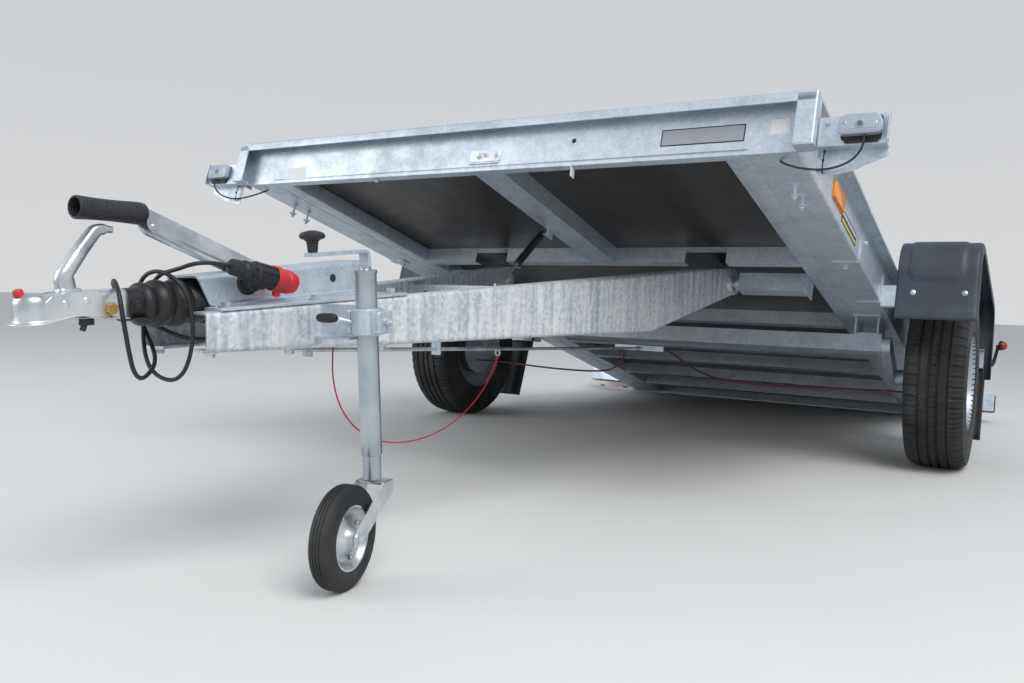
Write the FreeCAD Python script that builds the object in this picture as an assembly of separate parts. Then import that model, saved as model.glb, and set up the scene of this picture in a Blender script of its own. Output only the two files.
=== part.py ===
"""Single-axle flatbed trailer whose bed tilts about its wheels, parked with its tail on the ground.

Millimetres. The world frame stands on the ground with -Y forward and +X at the trailer's left.
The bed is drawn level in its own frame (v runs rearward from the tail edge, w up from the rails'
underside) and then tilted; the drawbar is drawn in a frame whose origin is the tilt pivot.
"""
import FreeCAD, Part
import math
import os

V = FreeCAD.Vector
X, Y, Z = V(1, 0, 0), V(0, 1, 0), V(0, 0, 1)

# Overall
TAIL_TO_PIVOT = 2420.0
PIVOT_TO_FRONT = 1001.0
BED_LENGTH = TAIL_TO_PIVOT + PIVOT_TO_FRONT
BED_HALF = 937.6
RAIL_FLANGE = 37.6
RAIL_HEIGHT = 132.5
SHEET = 3.0
TILT = 15.67
RUN_GAP = 0.3          # running clearance of pins, hubs and tubes
SEAT_GAP = 0.3         # gap where a moving piece rests beside its seat

# Wheels and axle
TYRE_R = 315.0
TYRE_W = 195.0
TREAD_W = 160.0
RIM_R = 180.0
TYRE_CLEAR = 30.9      # from the bed's side to the tyre's inner wall
WHEEL_X = BED_HALF + TYRE_CLEAR + TYRE_W / 2
WHEEL_V = -1757.0      # wheel centre in the bed frame
SPINDLE_R = 16.0
HUB_R = 42.0
HUB_HALF = 45.0
DRUM_R = 112.0
DRUM_SET, DRUM_DEPTH = 33.95, 47.0
DRUM_OUT = WHEEL_X - DRUM_SET
DRUM_IN = DRUM_OUT - DRUM_DEPTH
BACKPLATE_W = 8.0
AXLE_LEAD = 178.0
AXLE_V = WHEEL_V - AXLE_LEAD
AXLE_W = -88.0
AXLE_SIZE = 60.0
AXLE_INSET = 22.0      # from the side rail's web to the axle tube's end
AXLE_HALF = BED_HALF - RAIL_FLANGE - AXLE_INSET
ARM_W = 30.0
ARM_H = 62.0

# Bed
RAIL_WEB_X = BED_HALF - RAIL_FLANGE
RAIL_FOOT = 120.0
LIP = 12.5
FRONT_DEPTH = 40.0
FRONT_LIP = 26.0
FRONT_BAND = 45.0
FLOOR_W = 52.0
FLOOR_THICK = 12.0
FLOOR_GAP = 15.0
FLOOR_HALF = RAIL_WEB_X - FLOOR_GAP
INNER_SIZE = 60.0
INNER_X = RAIL_WEB_X - RAIL_FOOT - INNER_SIZE / 2
STIFF_WIDTH = 95.0
RIB_DEPTH = 42.0
TAIL_DEPTH = 45.0
FIRST_RIB = 182.0      # from the pivot forward to the first rib's front face
RIBS = (-TAIL_TO_PIVOT - FIRST_RIB, -1850.0, -1345.0, -1020.0, -620.0, -300.0)
NOTCH_WIDE = 140.0     # where the first rib is cut away over each beam

# Tilt pivot, in the bed frame
PIVOT_V = -TAIL_TO_PIVOT
PIVOT_W = -15.0
STUB_SIZE = 60.0
STUB_GAP = 27.0        # from the beam's bush to the stub's end
PIN_R = 12.0
PIN_PAST = 31.0        # from the beam's face to the pin's tip
RING_R = 24.0
RING_W = 14.0

# Drawbar, in the pivot frame (z 0 at the pivot)
SHAFT_SLOPE = 2.6
BEAM_REAR_X = 455.0
BUSH_IN, BUSH_OUT = 22.0, 10.0
STUB_IN = BEAM_REAR_X + BUSH_OUT + STUB_GAP
PIN_TIP = BEAM_REAR_X - PIN_PAST
BEAM_FRONT_X = 94.3
BEAM_FRONT_Y = -1890.0
BEAM_WIDTH = 50.0
BEAM_SHEET = 5.0
BEAM_TOP_FRONT, BEAM_TOP_REAR = -35.5, 57.0
BEAM_LOW_FRONT, BEAM_LOW_REAR = -110.3, -143.0
BEAM_CORNER_Y = -465.0
SHAFT_Z = -20.0
SHAFT_R = 25.0
HOUSING_R = 38.0
BELLOWS_R = 45.0
BELLOWS_FRONT = -2002.0
HEAD_R = 31.0
HEAD_BRIM = 7.0
HEAD_DEPTH = 29.0
ROD_R = 5.0
HOUSING_FRONT, HOUSING_REAR = -1812.0, -1414.0
COVER_HALF, COVER_SHEET = 46.0, 4.0
COVER_NOSE, COVER_FRONT, COVER_REAR = 30.0, 46.0, 79.0
BALL_Y = -2156.0
BALL_R = 25.0
BALL_GAP = 0.3
CROSS_Y = -745.0

# Damper
DAMPER_X = -32.0
DAMPER_TOP_V, DAMPER_TOP_W = PIVOT_V - 480, -6.0
DAMPER_EYE_Y, DAMPER_EYE_Z = -712.0, -8.0
DAMPER_R = 12.0
DAMPER_ROD_R = 5.0
DAMPER_BODY = 165.0
EYE_R, EYE_BORE, EYE_W = 11.0, 5.3, 9.0

# Jockey wheel, in the world frame
JOCKEY_X, JOCKEY_Y, JOCKEY_Z = 260.0, -2206.6, 198.0
JOCKEY_LEAN = 4.9
JOCKEY_R = 21.2
JOCKEY_WALL = 2.5
JOCKEY_TUBE = 406.0
JOCKEY_LOW = 44.0
JOCKEY_INNER = 330.0
JOCKEY_CROWN = 6.0
JOCKEY_CROWN_GAP = 6.0
JOCKEY_WHEEL_R = 100.0
JOCKEY_WHEEL_W = 46.0
JOCKEY_RIM_R = 62.0
JOCKEY_TRAIL = 120.0
JOCKEY_TURN = -12.7
JOCKEY_HUB_R = 17.0
JOCKEY_BOLT_R = 6.0
JOCKEY_FORK_GAP = 5.0
JOCKEY_LEG = 4.0
CLAMP_WALL = 10.0
CLAMP_Z, CLAMP_H = 285.0, 52.0
CRANK_RISE = 47.0
CRANK_ARM = 160.0
CRANK_WIDTH = 25.0
CRANK_THICK = 7.0
KNOB_R = 23.5
KNOB_RISE = 25.0

# Mudguards, relative to the wheel centre in the bed frame
GUARD_GAP, GUARD_W = 7.4, 250.0
GUARD_IN = BED_HALF + GUARD_GAP
GUARD_OUT = GUARD_IN + GUARD_W
GUARD_SHEET = 4.0
GUARD_HALF = 448.0
GUARD_TOP = 455.0
GUARD_END = 108.0
GUARD_CORNER = 150.0

# Lamps, reflectors and plate
TAIL_LAMP_W = 215.0
REFLECTOR_SET, REFLECTOR_LONG = 191.0, 105.0
PLATE_OUT, PLATE_W, PLATE_H = 307.4, 520.0, 110.0


def box(x0, x1, y0, y1, z0, z1):
    return Part.makeBox(x1 - x0, y1 - y0, z1 - z0, V(x0, y0, z0))


def cyl(r, start, axis, length):
    return Part.makeCylinder(r, length, start, axis)


def ring(r_out, r_in, start, axis, length):
    return cyl(r_out, start, axis, length).cut(cyl(r_in, start - axis * 1.0, axis, length + 2.0))


def prism(points, push):
    return Part.Face(Part.makePolygon(points + [points[0]])).extrude(push)


def yz_prism(points, x0, x1):
    return prism([V(x0, a, b) for a, b in points], V(x1 - x0, 0, 0))


def xz_prism(points, y0, y1):
    return prism([V(a, y0, b) for a, b in points], V(0, y1 - y0, 0))


def turned(profile, centre, axis=X):
    """Revolve (offset along X, radius) points about the X line through centre."""
    pts = [V(centre.x + a, centre.y, centre.z + r) for a, r in profile]
    return Part.Face(Part.makePolygon(pts + [pts[0]])).revolve(centre, axis, 360)


def turned_z(profile, base):
    """Revolve (radius, height) points about the Z line through base."""
    pts = [V(base.x + r, base.y, base.z + h) for r, h in profile]
    return Part.Face(Part.makePolygon(pts + [pts[0]])).revolve(base, Z, 360)


def mirrored(shape):
    return shape.mirror(V(0, 0, 0), X)


def joined(first, *others):
    shape = first
    for other in others:
        shape = shape.fuse(other)
    return shape.removeSplitter()


# The bed's placement: its tilt and the tail edge's place that put the wheels on the ground
_t = math.radians(TILT)
WHEEL_W = (TYRE_R + WHEEL_V * math.sin(_t)) / math.cos(_t)
TAIL_Y = -WHEEL_V * math.cos(_t) - WHEEL_W * math.sin(_t)


def bed_point(x, v, w):
    return V(x, TAIL_Y + v * math.cos(_t) + w * math.sin(_t), -v * math.sin(_t) + w * math.cos(_t))


def bed(shape):
    out = shape.copy()
    out.rotate(V(0, 0, 0), X, -TILT)
    out.translate(V(0, TAIL_Y, 0))
    return out


PIVOT = bed_point(0, PIVOT_V, PIVOT_W)


def bar(shape):
    out = shape.copy()
    out.rotate(V(0, 0, 0), X, SHAFT_SLOPE)
    out.translate(PIVOT)
    return out


def bar_point(x, y, z):
    s = math.radians(SHAFT_SLOPE)
    return PIVOT + V(x, y * math.cos(s) - z * math.sin(s), y * math.sin(s) + z * math.cos(s))


# Bed frame

def side_rail():
    lip_x = BED_HALF
    foot = RAIL_WEB_X - RAIL_FOOT
    h, t, web = RAIL_HEIGHT, SHEET, RAIL_WEB_X
    pts = [(foot, 0), (web, 0), (web, h - t), (lip_x - t, h - t), (lip_x - t, h - LIP),
           (lip_x, h - LIP), (lip_x, h), (web - t, h), (web - t, t), (foot, t)]
    return xz_prism(pts, -BED_LENGTH + FRONT_DEPTH, -TAIL_DEPTH)


def front_rail():
    f, d, h, t = -BED_LENGTH, FRONT_DEPTH, RAIL_HEIGHT, SHEET
    pts = [(f, h - FRONT_LIP), (f, h), (f + d, h), (f + d, t), (f + d + 24, t), (f + d + 24, 0),
           (f + d - t, 0), (f + d - t, h - t), (f + t, h - t), (f + t, h - FRONT_LIP)]
    body = yz_prism(pts, -RAIL_WEB_X + RAIL_FOOT, RAIL_WEB_X - RAIL_FOOT)
    upper = [p for p in pts if p[0] < f + d + 1]
    upper = [(f, h - FRONT_LIP), (f, h), (f + d, h), (f + d, 0), (f + d - t, 0),
             (f + d - t, h - t), (f + t, h - t), (f + t, h - FRONT_LIP)]
    body = body.fuse(yz_prism(upper, -BED_HALF, BED_HALF))
    for s in (-1, 1):
        a, b = sorted((s * (BED_HALF - FRONT_BAND), s * BED_HALF))
        c, e = sorted((s * (BED_HALF - t), s * BED_HALF))
        body = body.fuse(box(a, b, f, f + t, 0, h))
        body = body.fuse(box(c, e, f, f + d, 0, h))
        body = body.fuse(box(a, b, f, f + d, 0, t))
    return body.removeSplitter()


def tail_rail():
    d, h, t = TAIL_DEPTH, FLOOR_W + FLOOR_THICK, SHEET
    pts = [(0, 0), (0, h), (-t, h), (-t, t), (-d, t), (-d, 0)]
    return yz_prism(pts, -BED_HALF + 15, BED_HALF - 15)


def floor_panel():
    return box(-FLOOR_HALF, FLOOR_HALF, -BED_LENGTH + FRONT_DEPTH, -SHEET, FLOOR_W,
               FLOOR_W + FLOOR_THICK)


def inner_rail():
    a = INNER_X - INNER_SIZE / 2
    outer = box(a, a + INNER_SIZE, -BED_LENGTH + FRONT_DEPTH + 24, -TAIL_DEPTH, 0, FLOOR_W)
    hollow = box(a + SHEET, a + INNER_SIZE - SHEET, -BED_LENGTH, 0, SHEET, FLOOR_W - SHEET)
    return outer.cut(hollow)


def centre_stiffener():
    a, t = 0.0, SHEET
    pts = [(a, 0), (a + STIFF_WIDTH, 0), (a + STIFF_WIDTH, FLOOR_W), (a + STIFF_WIDTH - t, FLOOR_W),
           (a + STIFF_WIDTH - t, t), (a + t, t), (a + t, FLOOR_W), (a, FLOOR_W)]
    body = xz_prism(pts, -BED_LENGTH + FRONT_DEPTH + 24, RIBS[0])
    return body.fuse(damper_bracket()).removeSplitter()


def rib(v):
    half, t = INNER_X - INNER_SIZE / 2, SHEET
    pts = [(v, 0), (v + RIB_DEPTH, 0), (v + RIB_DEPTH, t), (v + t, t), (v + t, FLOOR_W - t),
           (v + RIB_DEPTH, FLOOR_W - t), (v + RIB_DEPTH, FLOOR_W), (v, FLOOR_W)]
    body = yz_prism(pts, -half, half)
    if v < PIVOT_V:
        for s in (-1, 1):
            mid = s * (BEAM_REAR_X - BEAM_WIDTH / 2 - 10)
            a, b = mid - NOTCH_WIDE / 2, mid + NOTCH_WIDE / 2
            body = body.cut(box(a, b, v - 1, v + RIB_DEPTH + 1, -1, FLOOR_W - t))
    return body


def pivot_stub():
    """Square tube from the inner rail to the drawbar's end, with its end plate, ring and pin."""
    h, t = STUB_SIZE / 2, SHEET
    end = INNER_X - INNER_SIZE / 2
    tube = box(STUB_IN, end, -h, h, -h, h).cut(box(STUB_IN + t, end - t, -h + t, h - t, -h + t, h - t))
    plate = box(end - 4, end, -h - 14, h + 14, -h - 10, FLOOR_W - PIVOT_W)
    collar = cyl(RING_R, V(STUB_IN - RING_W, 0, 0), X, RING_W)
    pin = cyl(PIN_R, V(PIN_TIP, 0, 0), X, STUB_IN - PIN_TIP)
    body = joined(tube, plate, collar, pin)
    body.translate(V(0, PIVOT_V, PIVOT_W))
    return body


# Running gear

def axle_beam():
    h = AXLE_SIZE / 2
    outer = box(-AXLE_HALF, AXLE_HALF, AXLE_V - h, AXLE_V + h, AXLE_W - h, AXLE_W + h)
    return outer.cut(box(-AXLE_HALF + 8, AXLE_HALF - 8, AXLE_V - h + 5, AXLE_V + h - 5,
                         AXLE_W - h + 5, AXLE_W + h - 5))


def axle_bracket():
    """Folded bracket that bolts the axle tube under the side rail."""
    h, top = AXLE_SIZE / 2, AXLE_W + AXLE_SIZE / 2
    x0, x1 = RAIL_WEB_X - RAIL_FOOT + 4, AXLE_HALF
    foot = box(x0, x1, AXLE_V - 95, AXLE_V + 95, -6, 0)
    cheeks = [box(x, x + 6, AXLE_V - 70, AXLE_V + 70, top, -6) for x in (x0 + 6, x1 - 12)]
    saddle = box(x0, x1, AXLE_V - h - 6, AXLE_V + h + 6, top, top + 6)
    return joined(foot, saddle, *cheeks)


def swing_arm():
    """Trailing arm with its spindle and the brake's back plate."""
    x0 = AXLE_HALF
    a, b = V(x0, AXLE_V, AXLE_W), V(x0, WHEEL_V, WHEEL_W)
    run = b - a
    side = V(0, -run.z, run.y).normalize() * (ARM_H / 2)
    arm = prism([a + side, b + side, b - side, a - side], V(ARM_W, 0, 0))
    arm = joined(arm, cyl(ARM_H / 2, a, X, ARM_W), cyl(ARM_H / 2, b, X, ARM_W))
    stub = cyl(SPINDLE_R, b, X, WHEEL_X + HUB_HALF - x0 - 6)
    shoulder = cyl(30.0, b, X, DRUM_IN - BACKPLATE_W - x0)
    plate = cyl(DRUM_R, V(DRUM_IN - BACKPLATE_W - SEAT_GAP, b.y, b.z), X, BACKPLATE_W)
    return joined(arm, stub, shoulder, plate)


def wheel_centre(side):
    return bed_point(side * WHEEL_X, WHEEL_V, WHEEL_W)


def tyre():
    c = wheel_centre(1)
    h, tr, r = TYRE_W / 2, TREAD_W / 2, TYRE_R
    pts = [(-h + 6, RIM_R), (-h, r - 85), (-h, r - 50), (-tr, r - 8), (-tr + 16, r), (tr - 16, r),
           (tr, r - 8), (h, r - 50), (h, r - 85), (h - 6, RIM_R)]
    return turned(pts, c)


def wheel_rim():
    """Steel rim with its disc, hub and brake drum."""
    c = wheel_centre(1)
    h = TYRE_W / 2 - 6
    pts = [(-h, RIM_R), (-h, RIM_R - 6), (-h + 34, RIM_R - 30), (-4, RIM_R - 30), (-4, HUB_R),
           (-HUB_HALF, HUB_R), (-HUB_HALF, SPINDLE_R + RUN_GAP), (HUB_HALF, SPINDLE_R + RUN_GAP),
           (HUB_HALF, HUB_R), (6, HUB_R), (6, RIM_R - 30), (h - 26, RIM_R - 30), (h, RIM_R - 6),
           (h, RIM_R)]
    rim = turned(pts, c)
    d0, d1 = DRUM_IN - WHEEL_X, DRUM_OUT - WHEEL_X
    drum = turned([(d0, DRUM_R), (d0, DRUM_R - 8), (d1 - 8, DRUM_R - 8), (d1 - 8, HUB_R - 2),
                   (-3, HUB_R - 2), (-3, HUB_R + 20), (d1, HUB_R + 20), (d1, DRUM_R)], c)
    return joined(rim, drum)


# Mudguards and lamps

def guard_outline(inset):
    a, t, e, c = GUARD_HALF - inset, GUARD_TOP - inset, GUARD_END, GUARD_CORNER
    return [(-a, e), (-a, t - c), (-a + 0.3 * c, t - 0.3 * c), (-a + c, t), (a - c, t),
            (a - 0.3 * c, t - 0.3 * c), (a, t - c), (a, e)]


def mudguard():
    outer = yz_prism(guard_outline(0), GUARD_IN, GUARD_OUT)
    inner = yz_prism([(p, q if q > GUARD_END else q - 5) for p, q in guard_outline(GUARD_SHEET)],
                     GUARD_IN, GUARD_OUT)
    shell = outer.cut(inner)
    skirt = outer.cut(yz_prism([(p, q if q > GUARD_END else q - 5) for p, q in guard_outline(34)],
                               GUARD_IN, GUARD_OUT))
    skirt = skirt.common(box(GUARD_OUT - GUARD_SHEET, GUARD_OUT, -GUARD_HALF, GUARD_HALF,
                             GUARD_END, GUARD_TOP))
    body = joined(shell, skirt)
    body.translate(V(0, WHEEL_V, WHEEL_W))
    return body.fuse(mud_flap())


def guard_bracket(s):
    """Angle bracket from the side rail's web to one end of the mudguard."""
    z = WHEEL_W + GUARD_END
    v = WHEEL_V + s * (GUARD_HALF - GUARD_SHEET)
    a, b = sorted((v, v - s * 5))
    arm = box(RAIL_WEB_X, GUARD_OUT - 30, a, b, z + 62, z + 102)
    c, d = sorted((v, v - s * 50))
    return joined(arm, box(RAIL_WEB_X, RAIL_WEB_X + 4, c, d, z + 62, z + 102))


def mud_flap():
    v = WHEEL_V + GUARD_HALF - GUARD_SHEET
    z = WHEEL_W + GUARD_END
    pts = [(v - 4, z + 58), (v, z + 58), (v, z), (v - 18, z - 250), (v - 22, z - 250), (v - 4, z)]
    return yz_prism(pts, GUARD_IN + 22, GUARD_OUT - 22)


# Drawbar

def beam_top(y):
    return BEAM_TOP_REAR + (BEAM_TOP_FRONT - BEAM_TOP_REAR) * y / BEAM_FRONT_Y


def beam_low(y):
    k = (y - BEAM_CORNER_Y) / (BEAM_FRONT_Y - BEAM_CORNER_Y)
    return BEAM_LOW_REAR + (BEAM_LOW_FRONT - BEAM_LOW_REAR) * k


def beam_face(y):
    """X of the left beam's outer face."""
    return BEAM_REAR_X + (BEAM_FRONT_X - BEAM_REAR_X) * y / BEAM_FRONT_Y


BEAM_TURN = math.degrees(math.atan((BEAM_REAR_X - BEAM_FRONT_X) / -BEAM_FRONT_Y))


def beam():
    """Folded channel, open inward, deep near the rear and rounded about the pivot."""
    k = math.cos(math.radians(BEAM_TURN))
    front, corner, t = BEAM_FRONT_Y / k, BEAM_CORNER_Y / k, BEAM_SHEET
    nose = [(28, 50), (50, 28), (58, -4), (48, -34)]
    outer = [(front, BEAM_TOP_FRONT), (0, BEAM_TOP_REAR)] + nose
    outer += [(corner, BEAM_LOW_REAR), (front, BEAM_LOW_FRONT)]
    body = yz_prism(outer, -BEAM_WIDTH, 0)
    slope = (BEAM_TOP_REAR - BEAM_TOP_FRONT) / -front
    low = (BEAM_LOW_FRONT - BEAM_LOW_REAR) / (corner - front)
    hollow = [(front - 10, BEAM_TOP_FRONT - t - 10 * slope), (0, BEAM_TOP_REAR - t), (30, 44), (90, 44),
              (90, -10), (50, -34 + t), (corner, BEAM_LOW_REAR + t), (front - 10, BEAM_LOW_FRONT + t + 10 * low)]
    body = body.cut(yz_prism(hollow, -BEAM_WIDTH - 1, -t))
    body.rotate(V(0, 0, 0), Z, -BEAM_TURN)
    body.translate(V(BEAM_REAR_X, 0, 0))
    bush = cyl(RING_R, V(BEAM_REAR_X - BUSH_IN, 0, 0), X, BUSH_IN + BUSH_OUT)
    body = body.fuse(bush)
    return body.cut(cyl(PIN_R + RUN_GAP, V(PIN_TIP - 20, 0, 0), X, 120)).removeSplitter()


def cross_member():
    """Channel between the beams with the lug for the damper's eye."""
    y0, y1 = CROSS_Y - 40, CROSS_Y
    inset = BEAM_SHEET / math.cos(math.radians(BEAM_TURN)) + 0.2
    a, b = beam_face(y0) - inset, beam_face(y1) - inset
    pts = [V(-a, y0, -45), V(a, y0, -45), V(b, y1, -45), V(-b, y1, -45)]
    body = prism(pts, V(0, 0, 40))
    x = DAMPER_X + EYE_W / 2 + SEAT_GAP + 0.7
    lug = box(x, x + 6, y1 - 1, DAMPER_EYE_Y + 12, -40, DAMPER_EYE_Z + 10)
    return body.fuse(lug).removeSplitter()


def overrun_housing():
    """Base plate on the beams, shaft tube, covering channel and the bellows' flange."""
    y0, y1 = HOUSING_FRONT, HOUSING_REAR
    w0, w1 = beam_face(y0), beam_face(y1)
    plate = yz_prism([(y0, beam_top(y0)), (y1, beam_top(y1)), (y1, beam_top(y1) + 6),
                      (y0, beam_top(y0) + 6)], -w1, w1)
    plate = plate.common(prism([V(-w0, y0, -300), V(w0, y0, -300), V(w1, y1, -300), V(-w1, y1, -300)],
                               V(0, 0, 600)))
    c = V(0, HOUSING_FRONT, SHAFT_Z)
    tube = cyl(HOUSING_R, c, Y, HOUSING_REAR - HOUSING_FRONT)
    flange = cyl(HOUSING_R + 8, c, Y, 12)
    a, b, t, w = HOUSING_FRONT, HOUSING_REAR, COVER_SHEET, COVER_HALF
    top = [(a, COVER_NOSE), (a + 24, COVER_FRONT), (b, COVER_REAR)]
    cover = yz_prism([(a, beam_top(a))] + top + [(b, beam_top(b))], -w, w)
    inner = yz_prism([(a - 9, beam_top(a) - 9), (a - 9, COVER_NOSE - t), (a + 24, COVER_FRONT - t),
                      (b + 9, COVER_REAR - t), (b + 9, beam_top(b) - 9)], -w + t, w - t)
    cover = cover.cut(inner)
    body = joined(plate, tube, flange, cover)
    return body.cut(cyl(SHAFT_R, V(0, BEAM_FRONT_Y - 50, SHAFT_Z), Y, 600)).removeSplitter()


def coupling_shaft():
    y0 = BALL_Y + 60
    return ring(SHAFT_R, SHAFT_R - 6, V(0, y0, SHAFT_Z), Y, HOUSING_REAR + 6 - y0)


def bellows():
    """Rubber bellows over the shaft, with a collar and a boss each side at the front."""
    y0, y1, peak, low = BELLOWS_FRONT, HOUSING_FRONT, BELLOWS_R, BELLOWS_R - 9
    pts = [(y0, SHAFT_R), (y0, low - 3), (y0 + 20, low - 2)]
    n, a = 4, y0 + 20
    step = (y1 - 8 - a) / n
    for i in range(n):
        pts += [(a + (i + 0.22) * step, peak - 3), (a + (i + 0.5) * step, peak),
                (a + (i + 0.78) * step, peak - 3), (a + (i + 1) * step, low)]
    pts += [(y1, low + 2), (y1, SHAFT_R)]
    face = Part.Face(Part.makePolygon([V(0, a, SHAFT_Z + r) for a, r in pts + [pts[0]]]))
    body = face.revolve(V(0, 0, SHAFT_Z), Y, 360)
    boss = cyl(8, V(-low - 3, y0 + 11, SHAFT_Z), X, 2 * low + 6).cut(cyl(SHAFT_R, V(0, y0 - 1, SHAFT_Z), Y, 40))
    return body.fuse(boss).removeSplitter()


def coupling_head():
    """Pressed head with the ball's socket open below, a brim, and a tapering neck on the shaft."""
    zc, r, low = SHAFT_Z, HEAD_R, SHAFT_Z - HEAD_DEPTH
    c = V(0, BALL_Y, zc)
    dome = Part.makeSphere(r, c).common(box(-90, 90, BALL_Y - 90, BALL_Y + 90, zc, zc + 60))
    skirt = cyl(r, V(0, BALL_Y, low), Z, HEAD_DEPTH)
    brim = cyl(r + HEAD_BRIM, V(0, BALL_Y, low), Z, 4)
    end = BELLOWS_FRONT - SEAT_GAP
    side = [(BALL_Y, low + 4), (BALL_Y, zc + 12), (BALL_Y + 26, zc + 20), (BALL_Y + 60, zc + 27),
            (BALL_Y + 120, zc + 29), (end, zc + 28), (end, zc - 26), (BALL_Y + 110, zc - 24),
            (BALL_Y + 70, zc - 24)]
    plan = [(-r, BALL_Y), (-27, BALL_Y + 50), (-26, end), (26, end), (27, BALL_Y + 50), (r, BALL_Y)]
    tall = prism([V(a, b, -200) for a, b in plan], V(0, 0, 400))
    neck = yz_prism(side, -60, 60).common(tall)
    foot = [(-r - HEAD_BRIM, BALL_Y), (-31, BALL_Y + 80), (-29, BALL_Y + 150), (29, BALL_Y + 150),
            (31, BALL_Y + 80), (r + HEAD_BRIM, BALL_Y)]
    lip = prism([V(a, b, low) for a, b in foot], V(0, 0, 4))
    web = yz_prism([(BALL_Y + 20, low), (BALL_Y + 20, zc), (BALL_Y + 150, zc), (BALL_Y + 150, low)], -20, 20)
    cap = cyl(11, V(0, BALL_Y - r + 13, zc + 14), Z, 19)
    body = joined(dome, skirt, brim, neck, lip, web, cap)
    body = body.cut(cyl(SHAFT_R, V(0, BALL_Y + 60, zc), Y, 200)).fuse(coupling_shaft())
    socket = cyl(BALL_R + BALL_GAP, V(0, BALL_Y, zc - 60), Z, 60)
    socket = socket.fuse(Part.makeSphere(BALL_R + BALL_GAP, c))
    return body.cut(socket).removeSplitter()


# handle's side outline from the ball's place: run rearward, height over the shaft
HANDLE = [(43, 24), (80, 24), (76, 36), (67, 44), (66, 57), (89, 88), (118, 121), (137, 127), (147, 130),
          (146, 137), (131, 139), (118, 137), (109, 131), (68, 90), (49, 66), (35, 43)]


def coupling_handle():
    """Bent lifting handle above the head."""
    pts = [(BALL_Y + a, SHAFT_Z + b) for a, b in HANDLE]
    return yz_prism(pts, -13, 13).cut(coupling_head())


# handbrake: the arm's fore end and the height of its side, in the pivot frame
LEVER_END = (-1952.0, 133.0)
LEVER_SLOPE = 0.372
LEVER_HALF, LEVER_H = 16.0, 42.0
LEVER_LOW, LEVER_REAR = -1777.0, -1690.0
GRIP_R, GRIP_LENGTH, GRIP_LIFT = 20.4, 134.0, 10.0


def lever_line(y, off=0.0):
    return LEVER_END[1] - LEVER_SLOPE * (y - LEVER_END[0]) + off


def cover_top(y):
    k = (y - HOUSING_FRONT - 24) / (HOUSING_REAR - HOUSING_FRONT - 24)
    return COVER_FRONT + (COVER_REAR - COVER_FRONT) * k


def handbrake():
    """Folded lever, open below, that comes up out of the housing's cover."""
    y1, h, t = LEVER_END[0], LEVER_H / 2, 3
    pts = [(y1, lever_line(y1, h)), (y1, lever_line(y1, -h)), (LEVER_LOW, cover_top(LEVER_LOW)),
           (LEVER_REAR, cover_top(LEVER_REAR)), (LEVER_REAR, lever_line(LEVER_REAR, h))]
    arm = yz_prism(pts, -LEVER_HALF, LEVER_HALF)
    inner = LEVER_REAR - 30
    arm = arm.cut(yz_prism([(y1 - 1, lever_line(y1 - 1, h - t)), (inner, lever_line(inner, h - t)),
                            (inner, 20), (y1 - 1, 20)], -LEVER_HALF + t, LEVER_HALF - t))
    rivet = cyl(5, V(-LEVER_HALF - 3, y1 + 10, lever_line(y1 + 10, -4)), X, 2 * LEVER_HALF + 6)
    return joined(arm, rivet).cut(overrun_housing())


def brake_grip():
    y, z = LEVER_END
    body = cyl(GRIP_R, V(0, y + 6, z + GRIP_LIFT), V(0, -1, 0.037).normalize(), GRIP_LENGTH)
    return body.cut(handbrake())


# brake rod's ends in the pivot frame
ROD_FRONT, ROD_REAR = V(-14, -1570, -134), V(-14, 322, -272)
CLIP_Y, CLIP_R, CLIP_WIRE = -742.0, 8.0, 2.0


def rod_at(y):
    k = (y - ROD_FRONT.y) / (ROD_REAR.y - ROD_FRONT.y)
    return ROD_FRONT + (ROD_REAR - ROD_FRONT) * k


def brake_rod():
    """Rod with the hook ring of the breakaway cable hanging under it."""
    run = ROD_REAR - ROD_FRONT
    rod = cyl(ROD_R, ROD_FRONT, V(run).normalize(), run.Length)
    hook = Part.makeTorus(CLIP_R, CLIP_WIRE, rod_at(CLIP_Y) - Z * (ROD_R + CLIP_R - CLIP_WIRE / 2), Y)
    return rod.fuse(hook)


def rod_hole(y):
    run = V(ROD_REAR - ROD_FRONT).normalize()
    return cyl(ROD_R, rod_at(y) - run * 30, run, 60)


def rod_hanger(y, wide):
    """Strap between the beams' lower flanges with a tab that carries the brake rod."""
    a, y1 = beam_face(y) - 12, y + wide
    foot = BEAM_SHEET
    strap = yz_prism([(y, beam_low(y) + foot), (y1, beam_low(y1) + foot),
                      (y1, beam_low(y1) + foot + 5), (y, beam_low(y) + foot + 5)], -a, a)
    q = rod_at(y)
    tab = box(q.x - 14, q.x + 14, y + 8, y + 13, q.z - 16, beam_low(y) + foot + 2)
    return joined(strap, tab).cut(rod_hole(y)).cut(beam()).cut(mirrored(beam()))


def equaliser():
    """Plate at the rod's rear end that shares its pull between the two brake cables."""
    q = rod_at(ROD_REAR.y - 16)
    plate = box(q.x - 105, q.x + 105, q.y - 4, q.y + 4, q.z - 9, q.z + 12)
    return plate.cut(rod_hole(q.y))


def rod_fittings():
    rows = [(-1540.0, 30.0), (-1060.0, 26.0)]
    return Part.makeCompound([rod_hanger(y, wide) for y, wide in rows] + [equaliser()])


# Damper

DAMPER_U = bed_point(DAMPER_X, DAMPER_TOP_V, DAMPER_TOP_W)
DAMPER_L = bar_point(DAMPER_X, DAMPER_EYE_Y, DAMPER_EYE_Z)


def damper_bracket():
    """Lug and pin on the stiffener's side, in the bed frame."""
    v, w = DAMPER_TOP_V, DAMPER_TOP_W
    lug = box(-6, 0, v - 16, v + 16, w - 14, FLOOR_W)
    pin = cyl(EYE_BORE - RUN_GAP, V(DAMPER_X - EYE_W / 2 - 4, v, w), X, -DAMPER_X + EYE_W / 2 - 1)
    return lug.fuse(pin).removeSplitter()


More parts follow.
